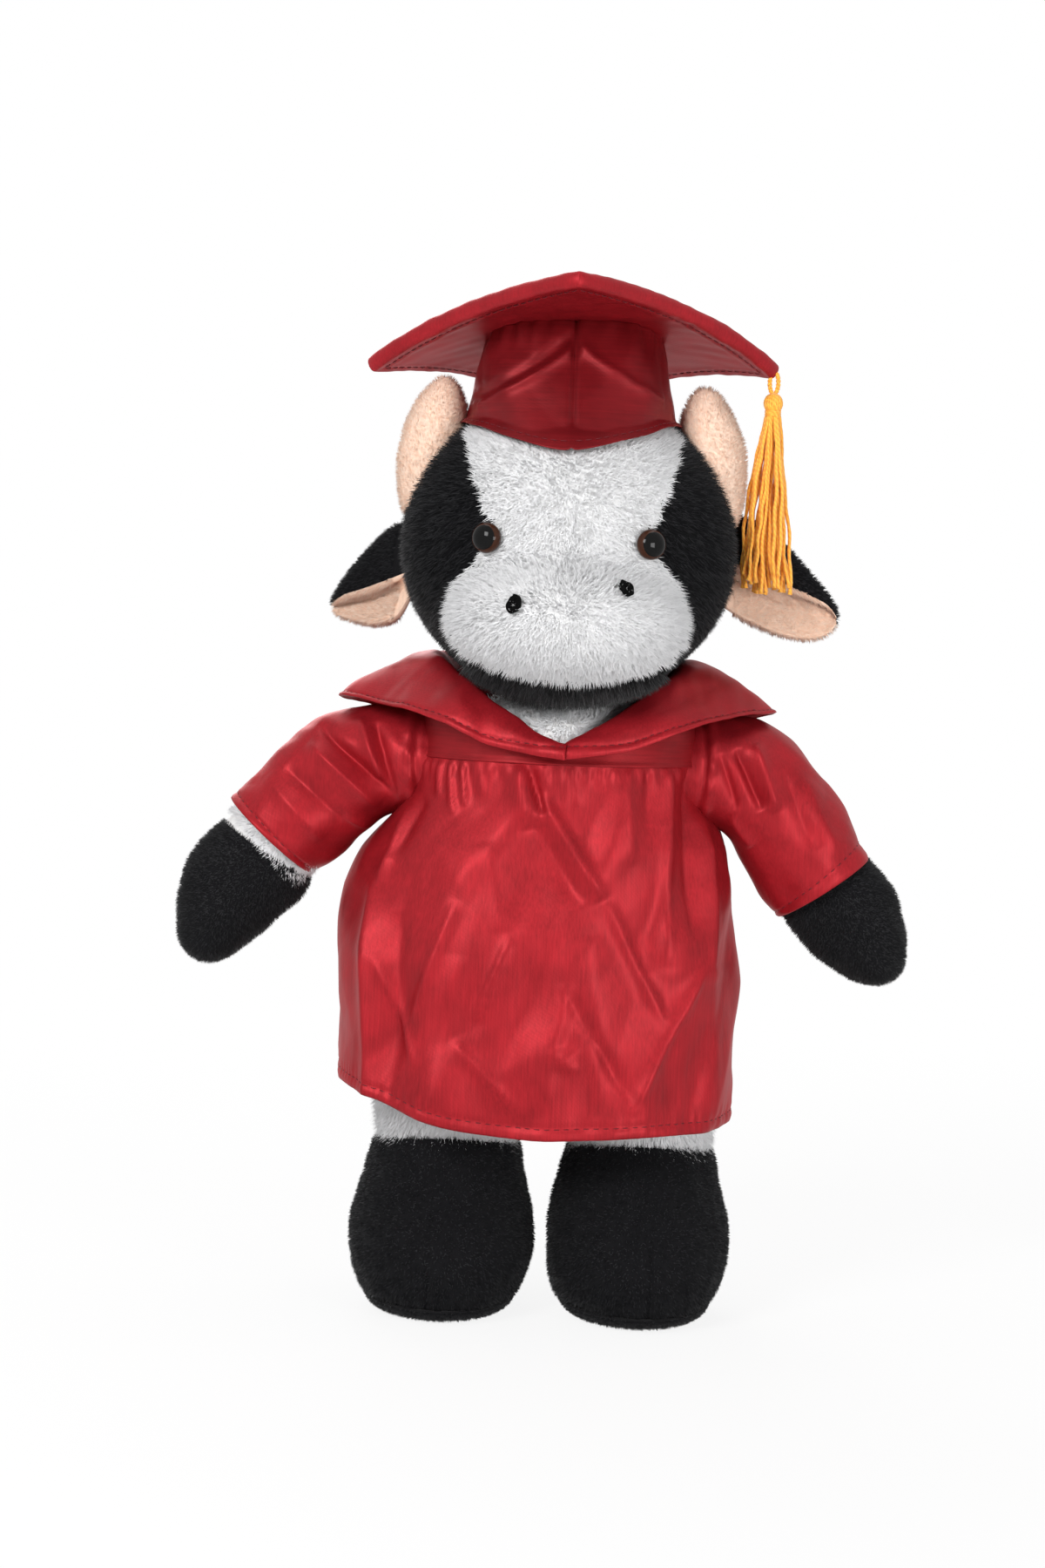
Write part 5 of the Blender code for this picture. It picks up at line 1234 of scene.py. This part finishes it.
# The arms: white plush bags sewn in at the shoulders, each ending in a mitten-shaped hoof of black
# short-pile cloth. A ring of white pile shows between the sleeve and the hoof.
def limb(outer_line, inner_line, depths, rows, columns):
    """A closed limb between two lines of the front view

    Each ring is an oval that spans the lines' points of equal share, as deep as the table of
    depths says.
    """
    outer = curve_through(outer_line, rows)
    inner = curve_through(inner_line, rows)
    depth = curve_through(np.array(depths, float)[:, None], rows)
    middle, half = (outer + inner) / 2, (outer - inner) / 2
    angle = round_turn(columns)[None, :]
    points = np.stack((middle[:, :1] + half[:, :1] * np.cos(angle), depth * np.sin(angle),
                       middle[:, 1:] + half[:, 1:] * np.cos(angle)), -1).reshape(-1, 3)
    return points, outward(points, closed_faces(rows, columns))


def make_arm(side, bare, pile_length, arm_outer, arm_inner, hoof_outer, hoof_inner, skins):
    """An arm and its hoof, with pile on the wrist except on the last bare mm, and on the hoof"""
    body = f"arm_{side}_body"
    points, faces = limb(arm_outer, arm_inner, (9, 10, 11, 11.5, 12, 12.2), 60, 60)
    arm = put_piece(f"arm_{side}_plush", points, faces, body, (skins[0],))
    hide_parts(f"arm_{side}", f"arm_stuffing_{side}")
    roots, normals, _ = sow(points, faces, 30000, 121)
    wrist = (np.array(arm_outer[-1]) + np.array(arm_inner[-1])) / 2
    shoulder = (np.array(arm_outer[-3]) + np.array(arm_inner[-3])) / 2
    down = unit(wrist - shoulder)
    from_wrist = (roots[:, 0] - wrist[0]) * down[0] + (roots[:, 2] - wrist[1]) * down[1]
    endways = np.abs((normals[:, 0] * down[0] + normals[:, 2] * down[1]))
    keep = (from_wrist > -17) & (from_wrist < -bare) & (endways < 0.8)
    comb = np.broadcast_to((down[0], 0, down[1]), normals[keep].shape)
    fur = grow_pile(f"wrist_{side}_pile", roots[keep], normals[keep], body, white_shades,
                    pile_length, 0.42, comb, 122, lean=0.8)
    depths = (13.4, 13.9, 14.4, 14.8, 14.6, 13.6, 11.2, 7.4, 0.3)
    points, faces = limb(hoof_outer, hoof_inner, depths, 80, 72)
    points = points + 0.45 * drift(points, 17.0, 123)[:, None] * point_normals(points, faces)
    hoof = put_piece(f"hoof_{side}_minky", points, faces, body, (skins[1],))
    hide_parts(f"hoof_{side}")
    roots, normals, _ = sow(points, faces, 15000, 124)
    comb = np.broadcast_to((down[0], 0, down[1]), normals.shape)
    fur = grow_pile(f"hoof_{side}_pile", roots, normals, body, hoof_shades_painted_lighter, 1.5, 0.32, comb, 125, tuft=2.5)


limb_skins = (plush_finish("limb_white_backing", (0.90, 0.89, 0.88), 2.5, 0.3),
              plush_finish("hoof_black_minky", (0.006, 0.006, 0.007), 1.4, 0.25))
# The hooves' pile is the boots' black minky painted lighter, as painted light where the hooves face the
# lamps.
hoof_shades_painted_lighter = pile_shades("hoof_pile_painted_lighter", ((0.011, 0.011, 0.012), (0.015, 0.015, 0.016),
                                        (0.020, 0.020, 0.022)), (0.06, 0.08, 0.12), 0.5)
make_arm("right", 4.5, 3.2,
         ((-46, 188), (-62, 184), (-80, 175.5), (-96, 167), (-105, 160.5), (-113.0, 153.0)),
         ((-46, 169), (-58, 165), (-66, 157.5), (-73.5, 150), (-79.5, 143.5), (-84.6, 136.6)),
         ((-110.4, 156.4), (-117.0, 149.6), (-121.4, 140.8), (-123.6, 131.8), (-123.9, 123.4),
          (-122.4, 116.6), (-119.6, 112.6), (-116.4, 111.0), (-113.6, 110.8)),
         ((-80.8, 138.4), (-85.2, 131.6), (-92.2, 124.8), (-97.4, 119.8), (-102.2, 115.8),
          (-106.2, 112.9), (-109.2, 111.4), (-111.6, 110.8), (-113.4, 110.7)), limb_skins)
make_arm("left", 11, 1.4,
         ((46, 188), (62, 184), (77, 175), (90, 165), (96.5, 156.5), (101.5, 149.4)),
         ((46, 169), (57, 163), (63.5, 154.5), (69, 146.5), (73.5, 139.5), (77.4, 133.4)),
         ((96.5, 157.2), (107.8, 147.8), (112.9, 139.6), (115.3, 131.8), (116.2, 124.2),
          (115.4, 117.4), (113.0, 113.6), (110.2, 112.0), (107.4, 111.5)),
         ((73.6, 137.0), (79.0, 129.0), (85.6, 122.4), (91.0, 118.0), (95.8, 115.0), (100.2, 113.0),
          (103.0, 112.1), (105.2, 111.6), (107.0, 111.4)), limb_skins)


# The legs: white plush bags that turn in the body's sockets, and boots of black short-pile cloth
# sewn to them, round and firmly stuffed, each closed by a sole whose seam curls up at the edge.
hip_spread = 32.0
sole_forward, sole_length_ratio = 9.6, 1.49


def make_leg(side, sign, foot_shift, skins):
    """A leg, its boot and its sole, each with its pile"""
    body = f"leg_{side}_body"
    # How high, and how wide
    table = ((46, 17), (49, 20.0), (52, 20.8), (60, 21.4), (72, 22.8), (86, 24.4), (95, 22.9), (103, 18.2),
             (108.5, 11.5), (110.8, 5), (111.2, 0.4))
    rows = curve_through(table, 70)
    angle = round_turn(72)[None, :]
    points = np.stack((sign * hip_spread + rows[:, 1, None] * np.cos(angle) - foot_shift * 0.3,
                       rows[:, 1, None] * np.sin(angle) - 1.0,
                       rows[:, 0, None] + 0 * angle), -1).reshape(-1, 3)
    faces = outward(points, closed_faces(len(rows), 72))
    leg = put_piece(f"leg_{side}_plush", points, faces, body, (skins[0],))
    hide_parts(f"leg_{side}", f"leg_stuffing_{side}")
    roots, normals, _ = sow(points, faces, 36000, 131)
    keep = (roots[:, 2] > 52.5) & (roots[:, 2] < 78)
    comb = np.broadcast_to((0.0, 0.0, -1.0), normals[keep].shape)
    fur = grow_pile(f"leg_{side}_pile", roots[keep], normals[keep], body, white_shades, 4.8, 0.42, comb, 132,
                    lean=0.9)

    # The boot, from the sole's seam to its top edge: height, half width, half length, forward shift
    table = ((5.0, 22.8, 34.4, -9.6), (5.4, 24.0, 35.7, -9.6), (7.4, 25.8, 37.0, -9.6),
             (11.5, 27.6, 38.4, -9.6), (17, 29.0, 39.0, -9.4), (24, 29.5, 37.8, -8.6),
             (32, 28.9, 34.4, -6.4), (40, 27.2, 30.2, -3.6), (47, 25.2, 27.0, -1.6),
             (51.5, 24.1, 25.4, -1.0), (53.2, 23.4, 24.7, -1.0), (53.6, 22.4, 23.4, -1.0),
             (52.6, 21.0, 22.0, -1.0))
    rows = curve_through(table, 96)
    columns = 144
    angle = round_turn(columns)[None, :]
    high, wide, long, forward = rows.T[:, :, None]
    x = np.cos(angle) * wide
    y = np.sin(angle) * long + forward
    z = high + 0 * angle
    toe = np.clip(-np.sin(angle), 0, 1)
    # The toe's dart is a groove up the front, and the top edge rises in front
    dart = -1.2 * hump(x, sign * 3.5, 0.8) * (toe > 0.8) * np.clip((38 - z) / 10, 0, 1)
    shape = np.stack((x, y, z), -1)
    swell = dart + 0.5 * drift(shape, 24.0, 133 + (sign > 0)) + 0.2 * drift(shape, 9.0, 135)
    ways = unit(np.stack((x / 880, (y - forward) / 1450, 0 * x), -1))
    shape = shape + ways * swell[..., None]
    shape[..., 2] += 3.6 * toe ** 1.5 * np.clip((z - 36) / 16, 0, 1)
    shape[..., 0] += sign * hip_spread - foot_shift * np.clip(1 - z / 60, 0, 1)
    points = shape.reshape(-1, 3)
    faces = outward(points, closed_faces(len(rows), columns))
    boot = put_piece(f"boot_{side}_minky", points, faces, body, (skins[1],))
    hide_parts(f"boot_{side}")
    roots, normals, _ = sow(points, faces, 28000, 136)
    keep = (np.abs(normals[:, 2]) < 0.93) | (roots[:, 2] > 12)
    comb = np.broadcast_to((0.0, 0.0, -1.0), normals[keep].shape)
    fur = grow_pile(f"boot_{side}_pile", roots[keep], normals[keep], body, minky_shades, 1.4, 0.34, comb, 137,
                    tuft=2.5)

    # The sole: a thin stuffed oval whose edge curls up to the seam
    table = ((0.35, 0.3), (0.05, 8), (0.0, 14), (0.5, 18.6), (1.7, 21.8), (3.2, 23.7), (4.5, 24.3),
             (5.2, 23.6), (5.3, 12), (5.3, 0.3))
    rows = curve_through(table, 60)
    points = np.stack((sign * hip_spread - foot_shift + rows[:, 1, None] * np.cos(angle),
                       -sole_forward + rows[:, 1, None] * np.sin(angle) * sole_length_ratio,
                       np.maximum(rows[:, 0, None], 0) + 0 * angle), -1).reshape(-1, 3)
    faces = outward(points, closed_faces(len(rows), columns))
    sole = put_piece(f"sole_{side}_minky", points, faces, body, (skins[1],))
    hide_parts(f"sole_{side}")
    roots, normals, _ = sow(points, faces, 16000, 138)
    edge = (roots[:, 2] > 0.9) & (normals[:, 2] < 0.5)
    comb = np.broadcast_to((0.0, 0.0, 0.6), normals[edge].shape)
    fur = grow_pile(f"sole_{side}_pile", roots[edge], normals[edge], body, minky_shades, 0.9, 0.30, comb, 139,
                    tuft=2.5)


make_leg("right", -1, 0.6, limb_skins)
make_leg("left", 1, 0.4, limb_skins)
